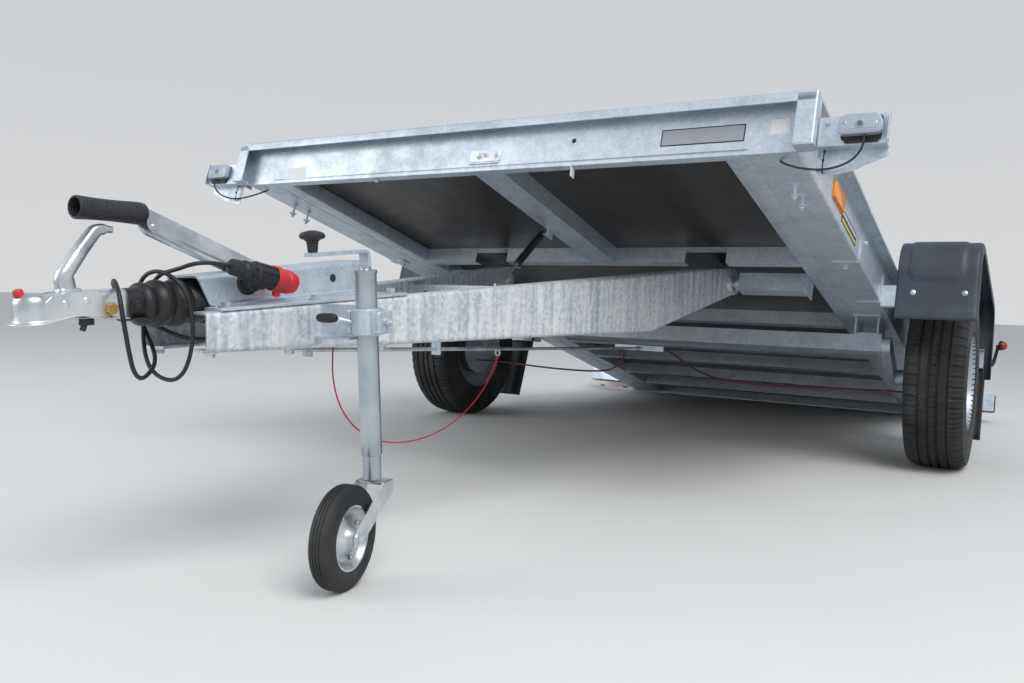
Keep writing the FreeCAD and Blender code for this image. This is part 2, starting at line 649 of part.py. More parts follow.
def damper_cylinder():
    axis = (DAMPER_L - DAMPER_U).normalize()
    eye = cyl(EYE_R, DAMPER_U - X * (EYE_W / 2), X, EYE_W)
    body = cyl(DAMPER_R, DAMPER_U + axis * (EYE_R + 3), axis, DAMPER_BODY)
    neck = cyl(6.0, DAMPER_U, axis, EYE_R + 5)
    shape = joined(eye, body, neck)
    shape = shape.cut(cyl(EYE_BORE, DAMPER_U - X * 20, X, 40))
    return shape.cut(cyl(DAMPER_ROD_R + RUN_GAP, DAMPER_U + axis * (EYE_R + 20), axis, DAMPER_BODY))


def damper_rod():
    reach = DAMPER_L - DAMPER_U
    axis = V(reach).normalize()
    eye = cyl(EYE_R, DAMPER_L - X * (EYE_W / 2), X, EYE_W)
    bolt = cyl(EYE_BORE, DAMPER_L - X * (EYE_W / 2 + 5), X, EYE_W + 5)
    start = DAMPER_U + axis * (EYE_R + 3 + DAMPER_BODY - 22)
    rod = cyl(DAMPER_ROD_R, start, axis, (DAMPER_L - start).Length)
    return joined(eye, bolt, rod)


# Jockey wheel

def jockey(shape):
    """From the tube's own frame (origin at its lower end) to the world."""
    out = shape.copy()
    out.rotate(V(0, 0, 0), X, JOCKEY_LEAN)
    out.translate(V(JOCKEY_X, JOCKEY_Y, JOCKEY_Z))
    return out


def trail_frame(shape):
    """From the wheel's frame (X its axle, -Y the trail, Z up, origin on the ground below the tube)."""
    drop = (JOCKEY_Z - JOCKEY_WHEEL_R) * math.tan(math.radians(JOCKEY_LEAN))
    out = shape.copy()
    out.rotate(V(0, 0, 0), Z, -JOCKEY_TURN)
    out.translate(V(JOCKEY_X, JOCKEY_Y + drop, 0))
    return out


def jockey_tube():
    return jockey(ring(JOCKEY_R, JOCKEY_R - JOCKEY_WALL, V(0, 0, JOCKEY_LOW), Z, JOCKEY_TUBE - JOCKEY_LOW))


def jockey_clamp():
    """Cast clamp round the tube on a folded bracket from the beam's side."""
    z0, z1, r = CLAMP_Z, CLAMP_Z + CLAMP_H, JOCKEY_R + CLAMP_WALL
    body = cyl(r, V(0, 0, z0), Z, CLAMP_H)
    wing = box(-6, r + 16, -20, 24, z0 + 4, z1 - 4)
    far = JOCKEY_Y - PIVOT.y - z1 * math.sin(math.radians(JOCKEY_LEAN)) - 12
    reach = JOCKEY_X - beam_face(far) + 1
    plate = box(-reach, -r + 6, -6, 0, z0 - 10, z1 + 6)
    shelf = box(-reach, -r + 6, -26, -1, z0 - 10, z0 - 6)
    block = box(-r - 6, -10, -22, 22, z0 + 2, z1 - 2)
    shape = joined(body, wing, plate, shelf, block)
    shape = jockey(shape.cut(cyl(JOCKEY_R, V(0, 0, 0), Z, 600)).removeSplitter())
    shape = shape.cut(bar(beam())).cut(bar(overrun_housing()))
    return max(shape.Solids, key=lambda solid: solid.Volume)


def clamp_handle():
    """T-screw that tightens the clamp, with a plastic grip."""
    z = CLAMP_Z + 26
    screw = cyl(6, V(-22, -24, z), V(-0.25, -1, 0.28).normalize(), 46)
    end = V(-22, -24, z) + V(-0.25, -1, 0.28).normalize() * 46
    grip = cyl(9, end + V(14, -1, 0), V(-1, -0.1, 0).normalize(), 46)
    return jockey(joined(screw, grip)).cut(jockey_clamp())


def jockey_crank():
    """Cap and bent flat crank."""
    top, w, t = JOCKEY_TUBE, CRANK_WIDTH / 2, CRANK_THICK
    cap = cyl(JOCKEY_R + 1.5, V(0, 0, top), Z, 7)
    boss = cyl(11, V(0, 0, top), Z, 16)
    post = box(-w, w, -t / 2, t / 2, top + 6, top + CRANK_RISE)
    arm = box(-w, w, -CRANK_ARM, t / 2, top + CRANK_RISE - t, top + CRANK_RISE)
    return jockey(joined(cap, boss, post, arm))


def crank_knob():
    base = V(0, -CRANK_ARM + 14, JOCKEY_TUBE + CRANK_RISE)
    stem = Part.makeCone(9, 13, KNOB_RISE, base, Z)
    head = turned_z([(0, KNOB_RISE - 2), (KNOB_R - 4, KNOB_RISE - 2), (KNOB_R, KNOB_RISE + 5),
                     (KNOB_R - 6, KNOB_RISE + 13), (0, KNOB_RISE + 16)], base)
    return jockey(joined(stem, head))


def jockey_inner_tube():
    r = JOCKEY_R - JOCKEY_WALL - RUN_GAP
    return jockey(ring(r, r - JOCKEY_WALL, V(0, 0, -JOCKEY_CROWN_GAP + SEAT_GAP), Z, JOCKEY_INNER))


def jockey_fork():
    z = JOCKEY_Z - JOCKEY_CROWN_GAP - JOCKEY_CROWN / 2
    half = JOCKEY_WHEEL_W / 2 + JOCKEY_FORK_GAP
    r, c, t = JOCKEY_R, JOCKEY_TRAIL, JOCKEY_LEG
    crown = box(-half - t, half + t, -r, r, z - JOCKEY_CROWN, z)
    parts = [crown]
    for s in (-1, 1):
        a, b = sorted((s * half, s * (half + t)))
        parts.append(yz_prism([(-r, z), (r, z), (r, z - 24), (-c + 14, JOCKEY_WHEEL_R - 13),
                               (-c - 12, JOCKEY_WHEEL_R - 13), (-c - 15, JOCKEY_WHEEL_R + 6)], a, b))
        parts.append(cyl(16, V(a, -c, JOCKEY_WHEEL_R), X, t))
    bolt = cyl(JOCKEY_BOLT_R, V(-half - t - 6, -c, JOCKEY_WHEEL_R), X, 2 * (half + t + 6))
    washer = jockey(cyl(r, V(0, 0, -JOCKEY_CROWN_GAP - JOCKEY_CROWN), Z, JOCKEY_CROWN))
    return trail_frame(joined(*parts, bolt)).fuse(washer).removeSplitter()


def jockey_wheel(tyre_part):
    h, r, rr = JOCKEY_WHEEL_W / 2, JOCKEY_WHEEL_R, JOCKEY_RIM_R
    c = V(0, -JOCKEY_TRAIL, r)
    if tyre_part:
        pts = [(-h + 4, rr), (-h, rr + 14), (-h + 3, r - 9), (-h + 11, r), (h - 11, r), (h - 3, r - 9),
               (h, rr + 14), (h - 4, rr)]
        return trail_frame(turned(pts, c))
    hub = h + JOCKEY_FORK_GAP - SEAT_GAP
    g = JOCKEY_HUB_R
    pts = [(-h + 4, rr), (-h + 4, rr - 5), (-3, g + 16), (-3, g), (-hub, g), (-hub, JOCKEY_BOLT_R + RUN_GAP),
           (hub, JOCKEY_BOLT_R + RUN_GAP), (hub, g), (3, g), (3, g + 16), (h - 4, rr - 5), (h - 4, rr)]
    return trail_frame(turned(pts, c))


# Cords: straight runs joined by tangent arcs

LEAD_D, LAMP_LEAD_D, PULL_D, BRAKE_D = 8.0, 5.0, 3.4, 8.0


def cord_solid(points, d):
    """Tube of diameter d along the points, with each corner rounded."""
    pts = [V(*p) for p in points]
    edges, start = [], pts[0]
    for k in range(1, len(pts) - 1):
        a, b, c = pts[k - 1], pts[k], pts[k + 1]
        u, w = (b - a).normalize(), (c - b).normalize()
        cut = 0.45 * min((b - a).Length, (c - b).Length)
        p, q = b - u * cut, b + w * cut
        half = u.getAngle(w) / 2
        if half < 0.004:
            continue
        mid = (w - u).normalize()
        r = cut / math.tan(half)
        m = b + mid * (r / math.cos(half) - r)
        edges.append(Part.makeLine(start, p))
        edges.append(Part.Arc(p, m, q).toShape())
        start = q
    edges.append(Part.makeLine(start, pts[-1]))
    path = Part.Wire(edges)
    ring_edge = Part.makeCircle(d / 2, pts[0], (pts[1] - pts[0]).normalize())
    return path.makePipeShell([Part.Wire(ring_edge)], True, False)


# one row per point, world frame before the shift to the box's centre
LEAD = [(92, -2448.6, 603.6), (91, -2474, 607), (84, -2496, 607), (70, -2507, 602), (46, -2509, 596),
        (18, -2505, 593), (-14, -2501, 588), (-42, -2500, 570), (-60, -2501, 540), (-63, -2503, 504),
        (-59, -2506, 470), (-48, -2510, 438), (-30, -2512, 410), (-4, -2508, 393), (26, -2501, 389),
        (50, -2498, 404), (63, -2495, 432), (68, -2493, 465), (68, -2493, 499), (66, -2498, 532),
        (59, -2505, 561), (39, -2518, 584), (8, -2525, 593), (-24, -2527, 586), (-52, -2522, 564),
        (-68, -2512, 530), (-72, -2501, 497), (-60, -2494, 466), (-38, -2495, 438), (-14, -2512, 416),
        (6, -2541, 401), (28, -2572, 396), (46, -2598, 412), (56, -2613, 442), (60, -2623, 476),
        (60, -2630, 510), (53, -2631, 542), (33, -2624, 563), (4, -2610, 573), (-26, -2592, 566),
        (-47, -2569, 549), (-54, -2544, 527), (-48, -2518, 505), (-44, -2490, 489), (-46, -2460, 477),
        (-53, -2428, 467), (-63, -2394, 461), (-74, -2350, 459), (-84, -2286, 459), (-98, -2206, 463),
        (-116, -2116, 470), (-135, -2024, 469), (-150, -1930, 468), (-169, -1830, 470), (-188, -1730, 476),
        (-206, -1636, 481), (-222, -1560, 485), (-238, -1496, 498), (-250, -1446, 526), (-254, -1412, 556),
        (-252, -1382.6, 578)]
PULL = [(60, -2116, 456), (61, -2118, 424), (64, -2120, 376), (70, -2108, 322), (76, -2078, 276),
        (80, -2030, 240), (82, -1966, 216), (82, -1892, 206), (78, -1814, 205), (70, -1736, 212),
        (60, -1660, 226), (46, -1584, 246), (30, -1510, 270), (14, -1442, 300), (0, -1386, 334),
        (-10, -1348, 363), (-14, -1330, 389)]
BRAKE = [(84, -272.9, 384), (86, -246, 381), (98, -214, 368), (120, -182, 345), (148, -150, 318),
         (184, -116, 292), (230, -84, 271), (292, -60, 259), (372, -44, 254), (464, -34, 252),
         (560, -28, 253), (654, -24, 256), (742, -22, 260), (820, -21, 263), (884, -20, 265),
         (934, -19, 264), (976.4, -18, 265)]
FAR_START = (-112, -272.9, 384)
LAMP_LEAD = [(1041, -1541, 938), (1041, -1545, 922), (1035, -1544, 903), (1018, -1539, 886),
             (993, -1533, 875), (962, -1527, 870), (930, -1520, 872), (900, -1511, 878),
             (874, -1500, 887), (856, -1489, 895), (848, -1480, 901)]
PLUG_R, PLUG_START, PLUG_END = 20.0, (92.0, -2448.0, 603.5), (92.0, -2292.0, 577.0)


def plug_line():
    a, b = V(*PLUG_START), V(*PLUG_END)
    return a, V(b - a).normalize(), (b - a).Length


def lead_plug():
    """Seven-pin plug: cord gland, body and the lidded cap."""
    a, d, n = plug_line()
    gland = cyl(11, a, d, 24)
    body = cyl(PLUG_R, a + d * 22, d, n * 0.62 - 22)
    cap = cyl(PLUG_R + 4, a + d * (n * 0.62 - 1), d, n * 0.38 + 1)
    tab = box(PLUG_START[0] - 8, PLUG_START[0] + 8, -14, 10, -PLUG_R - 14, -PLUG_R + 4)
    tab.translate(V(0, (a + d * (n * 0.8)).y, (a + d * (n * 0.8)).z))
    return joined(gland, body, cap, tab).cut(plug_holder())


def plug_holder():
    """Round park holder on the side of the housing's cover."""
    a, d, n = plug_line()
    at = a + d * (n * 0.3)
    return cyl(17, V(COVER_HALF, at.y, at.z - 14), X, at.x - COVER_HALF + 4)


def marker_lamp():
    """Lamp in front of its bracket, on the front rail's end."""
    x0, f = BED_HALF + 50, -BED_LENGTH + 4
    return box(x0, x0 + 90, f, f + 22, 18, 66)


def marker_bracket():
    f = -BED_LENGTH + 26
    plate = box(BED_HALF, BED_HALF + 152, f, f + 2.5, 2, 92)
    return plate.fuse(box(BED_HALF, BED_HALF + 2.5, f, f + 60, 2, 92)).removeSplitter()


def side_reflector():
    x = RAIL_WEB_X
    front = -BED_LENGTH + REFLECTOR_SET
    return box(x, x + 12, front, front + REFLECTOR_LONG, 28, 78)


def tail_lamp():
    x = BED_HALF + 4
    return box(x, x + TAIL_LAMP_W, -165, -95, 22, 112)


def tail_bracket():
    return box(RAIL_WEB_X, BED_HALF + TAIL_LAMP_W, -94.9, -90, 22, 112)


def number_plate():
    return box(-BED_HALF - PLATE_OUT, -BED_HALF - PLATE_OUT + PLATE_W, 0, 3, 8, 8 + PLATE_H)


def arm_lamp():
    """Outline lamp on a short arm from the mudguard's outer side."""
    foot = V(GUARD_OUT, WHEEL_V + GUARD_HALF - 17, WHEEL_W + 175)
    head = V(GUARD_OUT + 20, WHEEL_V + GUARD_HALF - 44, WHEEL_W + 243)
    run = head - foot
    pad = cyl(15, foot, X, 8)
    arm = cyl(6, foot + X * 5, V(run).normalize(), run.Length)
    return joined(pad, arm, cyl(19, head - X * 4, X, 36))


def side_brackets():
    """The mudguard's angle brackets and the lamps' folded brackets, all on the side rail."""
    return Part.makeCompound([guard_bracket(-1), guard_bracket(1), marker_bracket(), tail_bracket()])


def build():
    nodes = {}
    pairs = {"side_rail": side_rail(), "inner_rail": inner_rail(), "pivot_stub": pivot_stub(),
             "axle_bracket": axle_bracket(), "swing_arm": swing_arm(), "mudguard": mudguard(),
             "marker_lamp": marker_lamp(),
             "side_reflector": side_reflector(), "side_brackets": side_brackets(),
             "tail_lamp": tail_lamp(), "arm_lamp": arm_lamp()}
    for name, shape in pairs.items():
        nodes[name + "_left"] = bed(shape)
        nodes[name + "_right"] = bed(mirrored(shape))
    for name, shape in (("front_rail", front_rail()), ("tail_rail", tail_rail()),
                        ("floor_panel", floor_panel()), ("centre_stiffener", centre_stiffener()),
                        ("axle_beam", axle_beam()),
                        ("number_plate", number_plate())):
        nodes[name] = bed(shape)
    nodes["floor_ribs"] = bed(Part.makeCompound([rib(v) for v in RIBS]))
    for name, shape in (("tyre", tyre()), ("wheel_rim", wheel_rim())):
        nodes[name + "_left"] = shape
        nodes[name + "_right"] = mirrored(shape)
    nodes["drawbar_beam_left"] = bar(beam())
    nodes["drawbar_beam_right"] = bar(mirrored(beam()))
    for name, shape in (("cross_member", cross_member()), ("overrun_housing", overrun_housing()),
                        ("bellows", bellows()),
                        ("coupling_head", coupling_head()), ("coupling_handle", coupling_handle()),
                        ("handbrake_lever", handbrake()), ("handbrake_grip", brake_grip()),
                        ("brake_rod", brake_rod()), ("rod_fittings", rod_fittings())):
        nodes[name] = bar(shape)
    nodes["overrun_housing"] = nodes["overrun_housing"].fuse(plug_holder())
    nodes["lead_plug"] = lead_plug()
    nodes["lead"] = cord_solid(LEAD, LEAD_D)
    nodes["breakaway_cable"] = cord_solid(PULL, PULL_D)
    right = [FAR_START] + [(-x, y, z) for x, y, z in BRAKE[1:]]
    nodes["brake_cables"] = Part.makeCompound([cord_solid(BRAKE, BRAKE_D), cord_solid(right, BRAKE_D)])
    right = [(-x, y, z) for x, y, z in LAMP_LEAD]
    nodes["marker_leads"] = Part.makeCompound([cord_solid(LAMP_LEAD, LAMP_LEAD_D),
                                               cord_solid(right, LAMP_LEAD_D)])
    nodes["damper_cylinder"] = damper_cylinder()
    nodes["damper_rod"] = damper_rod()
    nodes["jockey_tube"] = jockey_tube()
    nodes["jockey_clamp"] = jockey_clamp()
    nodes["jockey_crank"] = jockey_crank()
    nodes["crank_knob"] = crank_knob()
    nodes["clamp_handle"] = clamp_handle()
    nodes["jockey_inner_tube"] = jockey_inner_tube()
    nodes["jockey_fork"] = jockey_fork()
    nodes["jockey_tyre"] = jockey_wheel(True)
    nodes["jockey_rim"] = jockey_wheel(False)
    return nodes


os.makedirs("parts", exist_ok=True)
NODES = build()
LOOSE = ("lead", "lead_plug", "breakaway_cable", "brake_cables", "marker_leads")
BOXES = [shape.BoundBox for name, shape in NODES.items() if name not in LOOSE]
CENTRE_Y = (min(b.YMin for b in BOXES) + max(b.YMax for b in BOXES)) / 2
SHIFT = V(0, -CENTRE_Y, 0)
for name, shape in NODES.items():
    shape.translate(SHIFT)
    shape.exportStep("parts/%s.step" % name)

LOW = min(b.ZMin for b in BOXES)
print("box", min(b.XMin for b in BOXES), max(b.XMax for b in BOXES), "y", min(b.YMin for b in BOXES),
      max(b.YMax for b in BOXES), "z", LOW, max(b.ZMax for b in BOXES))
for label, point in (("wheel", wheel_centre(1)), ("pivot", PIVOT), ("damper top", DAMPER_U),
                     ("damper eye", DAMPER_L), ("ball", bar_point(0, BALL_Y, SHAFT_Z)),
                     ("socket", bar_point(0, BALL_Y, SHAFT_Z - HEAD_DEPTH / 2)),
                     ("floor", bed_point(0, -1700, FLOOR_W + FLOOR_THICK)),
                     ("jockey", V(JOCKEY_X, JOCKEY_Y, JOCKEY_Z))):
    q = (point + SHIFT) * 0.001
    print("%-12s %.6f %.6f %.6f" % (label, q.x, q.y, q.z))
q = trail_frame(Part.Vertex(V(0, -JOCKEY_TRAIL, JOCKEY_WHEEL_R))).Point * 0.001 + SHIFT * 0.001
print("tail         0.000000 %.6f 0.000000" % ((TAIL_Y + SHIFT.y) / 1000))
print("jockey wheel %.6f %.6f %.6f" % (q.x, q.y, q.z), "shift", SHIFT.y)
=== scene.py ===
"""Tilting flatbed trailer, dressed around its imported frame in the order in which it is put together.

Sizes are millimetres in each part's own level frame, and metres once placed. The bed's frame has v along
the trailer, zero at the tail edge and negative ahead of it, and w up from the rails' underside; the
drawbar's frame starts at the tilt pivot.
"""
import math

import bmesh
import bpy
import numpy as np
from mathutils import Matrix, Vector


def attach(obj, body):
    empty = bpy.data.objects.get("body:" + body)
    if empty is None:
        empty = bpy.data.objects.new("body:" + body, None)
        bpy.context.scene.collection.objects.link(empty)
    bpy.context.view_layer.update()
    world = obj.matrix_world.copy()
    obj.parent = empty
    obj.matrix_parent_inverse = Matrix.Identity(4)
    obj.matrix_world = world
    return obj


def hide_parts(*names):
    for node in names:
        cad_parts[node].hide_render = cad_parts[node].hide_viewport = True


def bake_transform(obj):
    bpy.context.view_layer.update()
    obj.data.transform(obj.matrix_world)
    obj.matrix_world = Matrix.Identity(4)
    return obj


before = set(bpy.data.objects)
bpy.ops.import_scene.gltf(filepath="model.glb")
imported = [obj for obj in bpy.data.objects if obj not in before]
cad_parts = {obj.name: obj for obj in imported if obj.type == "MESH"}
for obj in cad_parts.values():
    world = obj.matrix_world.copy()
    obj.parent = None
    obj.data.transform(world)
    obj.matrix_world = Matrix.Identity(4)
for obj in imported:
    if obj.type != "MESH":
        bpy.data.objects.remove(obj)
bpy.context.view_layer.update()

# The viewpoint: someone standing ahead of the trailer's left front corner, with the camera at hip height.
YAW, PITCH, ROLL = 0.5564, -0.047, 0.0318
camera = bpy.data.objects.new("viewpoint", bpy.data.cameras.new("viewpoint"))
bpy.context.scene.collection.objects.link(camera)
camera.rotation_mode = "QUATERNION"
half_turns = [(YAW, (0, 0, 1)), (math.pi / 2 + PITCH, (1, 0, 0)), (ROLL, (0, 0, 1))]
facing = Matrix.Identity(3)
for angle, axis in half_turns:
    facing = facing @ Matrix.Rotation(angle, 3, axis)
camera.rotation_quaternion = facing.to_quaternion()
camera.location = (1.4171, -3.0432, 0.5591)
camera.data.lens, camera.data.sensor_width = 30.88, 36.0
camera.data.clip_end = 400.0
bpy.context.scene.camera = camera
bpy.context.scene.view_settings.view_transform = "Standard"


# The ground and the light: a plain pale floor that runs to the horizon, under a white overcast sky with
# two wide soft lamps, so that sheet metal has something bright and something dim to reflect.
class Value:
    """A socket's value; sums and products written on it, and a number less it, add Math nodes."""

    def __init__(self, finish, socket):
        self.finish, self.socket = finish, socket

    def math(self, operation, other):
        return self.finish.add("Math", {"operation": operation}, {0: self, 1: other})

    def __add__(self, other):
        return self.math("ADD", other)

    def __mul__(self, other):
        return self.math("MULTIPLY", other)

    def __rsub__(self, other):
        return self.finish.add("Math", {"operation": "SUBTRACT"}, {0: other, 1: self})

    __radd__, __rmul__ = __add__, __mul__


class Finish:
    """A surface finish: a node tree to which nodes are added one by one, around one surface shader."""

    def __init__(self, name, **constant):
        self.material = bpy.data.materials.new(name)
        self.material.use_nodes = True
        self.tree = self.material.node_tree
        self.shader = self.tree.nodes["Principled BSDF"]
        self.feed(**constant)

    def set(self, socket, value):
        if isinstance(value, Value):
            self.tree.links.new(value.socket, socket)
        elif isinstance(value, (tuple, list)) and len(value) == 3 and socket.type == "RGBA":
            socket.default_value = (*value, 1.0)
        else:
            socket.default_value = value

    def add(self, kind, settings=None, sockets=None, out=0):
        """One node of that kind, its settings first and then its sockets; the value is its given output."""
        node = self.tree.nodes.new("ShaderNode" + kind)
        for key, value in (settings or {}).items():
            setattr(node, key, value)
        for key, value in (sockets or {}).items():
            self.set(node.inputs[key], value)
        return Value(self, node.outputs[out])

    def feed(self, **values):
        """Values or links of the shader's sockets, with _ for a space in their names."""
        for name, value in values.items():
            self.set(self.shader.inputs[name.replace("_", " ")], value)

    def place(self, stretch=(1.0, 1.0, 1.0)):
        """The object's own coordinates in metres, each stretched by a factor."""
        here = self.add("TexCoord", out="Object")
        return self.add("Mapping", None, {"Vector": here, "Scale": stretch})

    def noise(self, scale, stretch=(1.0, 1.0, 1.0), detail=3.0, rough=0.55):
        return self.add("TexNoise", None, {"Vector": self.place(stretch), "Scale": scale, "Detail": detail,
                                           "Roughness": rough})

    def blend(self, amount, first, second):
        """Colour from first to second by an amount."""
        return self.add("Mix", {"data_type": "RGBA"}, {0: amount, 6: first, 7: second}, out=2)

    def between(self, value, low, high):
        """The value's run from low to high as 0 to 1, with a smooth start and end."""
        return self.add("MapRange", {"interpolation_type": "SMOOTHSTEP"},
                        {"Value": value, "From Min": low, "From Max": high})

    def bump(self, height, strength, distance):
        """Raises the surface by the height times distance, in metres."""
        self.feed(Normal=self.add("Bump", None, {"Height": height, "Strength": strength,
                                                 "Distance": distance}))


def shade(red, green, blue):
    """Screen colour out of 255 as the linear colour that renders so: the sRGB curve inverted."""
    part = np.array([red, green, blue]) / 255.0
    return tuple(np.where(part <= 0.04045, part / 12.92, ((part + 0.055) / 1.055) ** 2.4).tolist())


FLOOR_REACH = 60.0
ground_mesh = bpy.data.meshes.new("ground")
ground_mesh.from_pydata([(-FLOOR_REACH, -FLOOR_REACH, 0), (FLOOR_REACH, -FLOOR_REACH, 0),
                         (FLOOR_REACH, FLOOR_REACH, 0), (-FLOOR_REACH, FLOOR_REACH, 0)], [], [(0, 1, 2, 3)])
ground = bpy.data.objects.new("ground", ground_mesh)
bpy.context.scene.collection.objects.link(ground)
pale = Finish("pale_ground", Roughness=0.9)
seen = pale.add("LightPath", out="Is Camera Ray")
for ray in ("Is Glossy Ray", "Is Transmission Ray"):
    seen = seen.math("MAXIMUM", pale.add("LightPath", out=ray))
pale.feed(Base_Color=pale.blend(seen, shade(150, 150, 150),
                                pale.blend(pale.noise(1.5), shade(216, 216, 214), shade(224, 224, 222))))
ground_mesh.materials.append(pale.material)

world = bpy.data.worlds.new("overcast")
world.use_nodes = True
bpy.context.scene.world = world
sky = world.node_tree.nodes["Background"]
up = world.node_tree.nodes.new("ShaderNodeTexCoord")
height = world.node_tree.nodes.new("ShaderNodeSeparateXYZ")
tone = world.node_tree.nodes.new("ShaderNodeValToRGB")
tone.color_ramp.elements[0].position, tone.color_ramp.elements[0].color = 0.0, (0.80, 0.81, 0.82, 1)
tone.color_ramp.elements[1].position, tone.color_ramp.elements[1].color = 1.0, (0.52, 0.57, 0.64, 1)
world.node_tree.links.new(up.outputs["Generated"], height.inputs[0])
world.node_tree.links.new(height.outputs[2], tone.inputs[0])
world.node_tree.links.new(tone.outputs[0], sky.inputs[0])
sky.inputs[1].default_value = 0.85

for name, spot, aim, wide, power in (("lamp_high", (4.5, -3.5, 6.5), (0, 0, 0.4), 5.0, 420.0),
                                     ("lamp_front", (-5.0, -6.0, 3.0), (0, -0.5, 0.6), 4.0, 150.0)):
    lamp = bpy.data.objects.new(name, bpy.data.lights.new(name, "AREA"))
    lamp.data.shape, lamp.data.size, lamp.data.energy = "SQUARE", wide, power
    lamp.location = spot
    lamp.rotation_mode = "QUATERNION"
    lamp.rotation_quaternion = (Vector(aim) - Vector(spot)).to_track_quat("-Z", "Y")
    bpy.context.scene.collection.objects.link(lamp)


# The connecting lead: a black rubber-sheathed cable of seven cores, about two and a half metres long. It
# is plugged into its park holder, hangs ahead of the drawbar in loops, and is clipped along it to the bed.
LEAD_D = 0.008
LEAD = [
    (-0.2520, -0.8745, 0.5780), (-0.2540, -0.9039, 0.5560), (-0.2500, -0.9379, 0.5260),
    (-0.2380, -0.9879, 0.4980), (-0.2220, -1.0519, 0.4850), (-0.2060, -1.1279, 0.4810),
    (-0.1880, -1.2219, 0.4760), (-0.1690, -1.3219, 0.4700), (-0.1500, -1.4219, 0.4680),
    (-0.1350, -1.5159, 0.4690), (-0.1160, -1.6079, 0.4700), (-0.0980, -1.6979, 0.4630),
    (-0.0840, -1.7779, 0.4590), (-0.0740, -1.8419, 0.4590), (-0.0630, -1.8859, 0.4610),
    (-0.0530, -1.9199, 0.4670), (-0.0460, -1.9519, 0.4770), (-0.0440, -1.9819, 0.4890),
    (-0.0480, -2.0099, 0.5050), (-0.0540, -2.0359, 0.5270), (-0.0470, -2.0609, 0.5490),
    (-0.0260, -2.0839, 0.5660), (0.0040, -2.1019, 0.5730), (0.0330, -2.1159, 0.5630),
    (0.0530, -2.1229, 0.5420), (0.0600, -2.1219, 0.5100), (0.0600, -2.1149, 0.4760),
    (0.0560, -2.1049, 0.4420), (0.0460, -2.0899, 0.4120), (0.0280, -2.0639, 0.3960),
    (0.0060, -2.0329, 0.4010), (-0.0140, -2.0039, 0.4160), (-0.0380, -1.9869, 0.4380),
    (-0.0600, -1.9859, 0.4660), (-0.0720, -1.9929, 0.4970), (-0.0680, -2.0039, 0.5300),
    (-0.0520, -2.0139, 0.5640), (-0.0240, -2.0189, 0.5860), (0.0080, -2.0169, 0.5930),
    (0.0390, -2.0099, 0.5840), (0.0590, -1.9969, 0.5610), (0.0660, -1.9899, 0.5320),
    (0.0680, -1.9849, 0.4990), (0.0680, -1.9849, 0.4650), (0.0630, -1.9869, 0.4320),
    (0.0500, -1.9899, 0.4040), (0.0260, -1.9929, 0.3890), (-0.0040, -1.9999, 0.3930),
    (-0.0300, -2.0039, 0.4100), (-0.0480, -2.0019, 0.4380), (-0.0590, -1.9979, 0.4700),
    (-0.0630, -1.9949, 0.5040), (-0.0600, -1.9929, 0.5400), (-0.0420, -1.9919, 0.5700),
    (-0.0140, -1.9929, 0.5880), (0.0180, -1.9969, 0.5930), (0.0460, -2.0009, 0.5970),
    (0.0710, -1.9979, 0.6040), (0.0850, -1.9849, 0.6090), (0.0910, -1.9629, 0.6100),
    (0.0920, -1.9399, 0.6086), (0.0920, -1.9232, 0.6058)]


def speckled(name, size, first, second, rough, swing, rough_size, relief=None, **constant):
    """Finish whose colour runs between two shades over noise of one scale, and whose roughness swings over
    noise of another. The relief is its bump's noise scale, noise detail, strength and distance."""
    made = Finish(name, **constant)
    made.feed(Base_Color=made.blend(made.noise(size), first, second),
              Roughness=rough + swing * made.noise(rough_size))
    if relief:
        scale, detail, strength, distance = relief
        made.bump(made.noise(scale, detail=detail), strength, distance)
    return made


sheath = speckled("cable_black", 60, shade(22, 22, 23), shade(40, 40, 41), 0.34, 0.22, 90,
                  relief=(900, 3.0, 0.4, 0.0004))


def route(name, points, diameter, finish):
    """Curve with the points as control points of one smooth spline of order 3, thick by its diameter."""
    data = bpy.data.curves.new(name, "CURVE")
    data.dimensions, data.resolution_u, data.use_fill_caps = "3D", 8, True
    data.bevel_depth, data.bevel_resolution = diameter / 2, 4
    data.materials.append(finish.material)
    line = data.splines.new("NURBS")
    line.points.add(len(points) - 1)
    line.points.foreach_set("co", np.hstack([np.array(points), np.ones((len(points), 1))]).ravel())
    line.order_u, line.use_endpoint_u = 3, True
    curve = bpy.data.objects.new(name, data)
    bpy.context.scene.collection.objects.link(curve)
    return curve


lead = route("connecting_lead", LEAD, LEAD_D, sheath)
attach(lead, "drawbar")
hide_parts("lead")


# The plug: moulded black plastic with gripping ribs and a cord gland, and the red cap of the park holder
# pushed over its pins. It sits on a round holder that is screwed to the housing's side.
PLUG_START, PLUG_END = np.array([92.0, -2432.0, 606.1]), np.array([92.0, -2271.5, 578.6])
GROUND_SHIFT = 508.06606


def on_ground(points):
    """Millimetres from the ground point midway between the tyres, placed in the object's frame."""
    return (points + [0.0, GROUND_SHIFT, 0.0]) / 1000.0


def turn(profile, centre, axis, sides=48, phase=0.0, wave=None):
    """Rows of points around an axis: point (i, j) lies the i-th run along it from the centre, at the i-th
    radius (changed by wave(run, angle) where it is given), and at j of the equal angles from phase."""
    run, radius = np.array(profile, float).T
    axis = np.array(axis, float) / np.linalg.norm(axis)
    side = np.cross(axis, [0.0, 0.0, 1.0] if abs(axis[2]) < 0.9 else [0.0, 1.0, 0.0])
    side /= np.linalg.norm(side)
    angle = phase + np.arange(sides) * 2 * np.pi / sides
    around = np.cos(angle)[:, None] * side + np.sin(angle)[:, None] * np.cross(axis, side)
    reach = radius[:, None] * np.ones(sides) + (0 if wave is None else wave(run[:, None], angle[None, :]))
    return np.array(centre, float) + run[:, None, None] * axis + reach[:, :, None] * around[None]


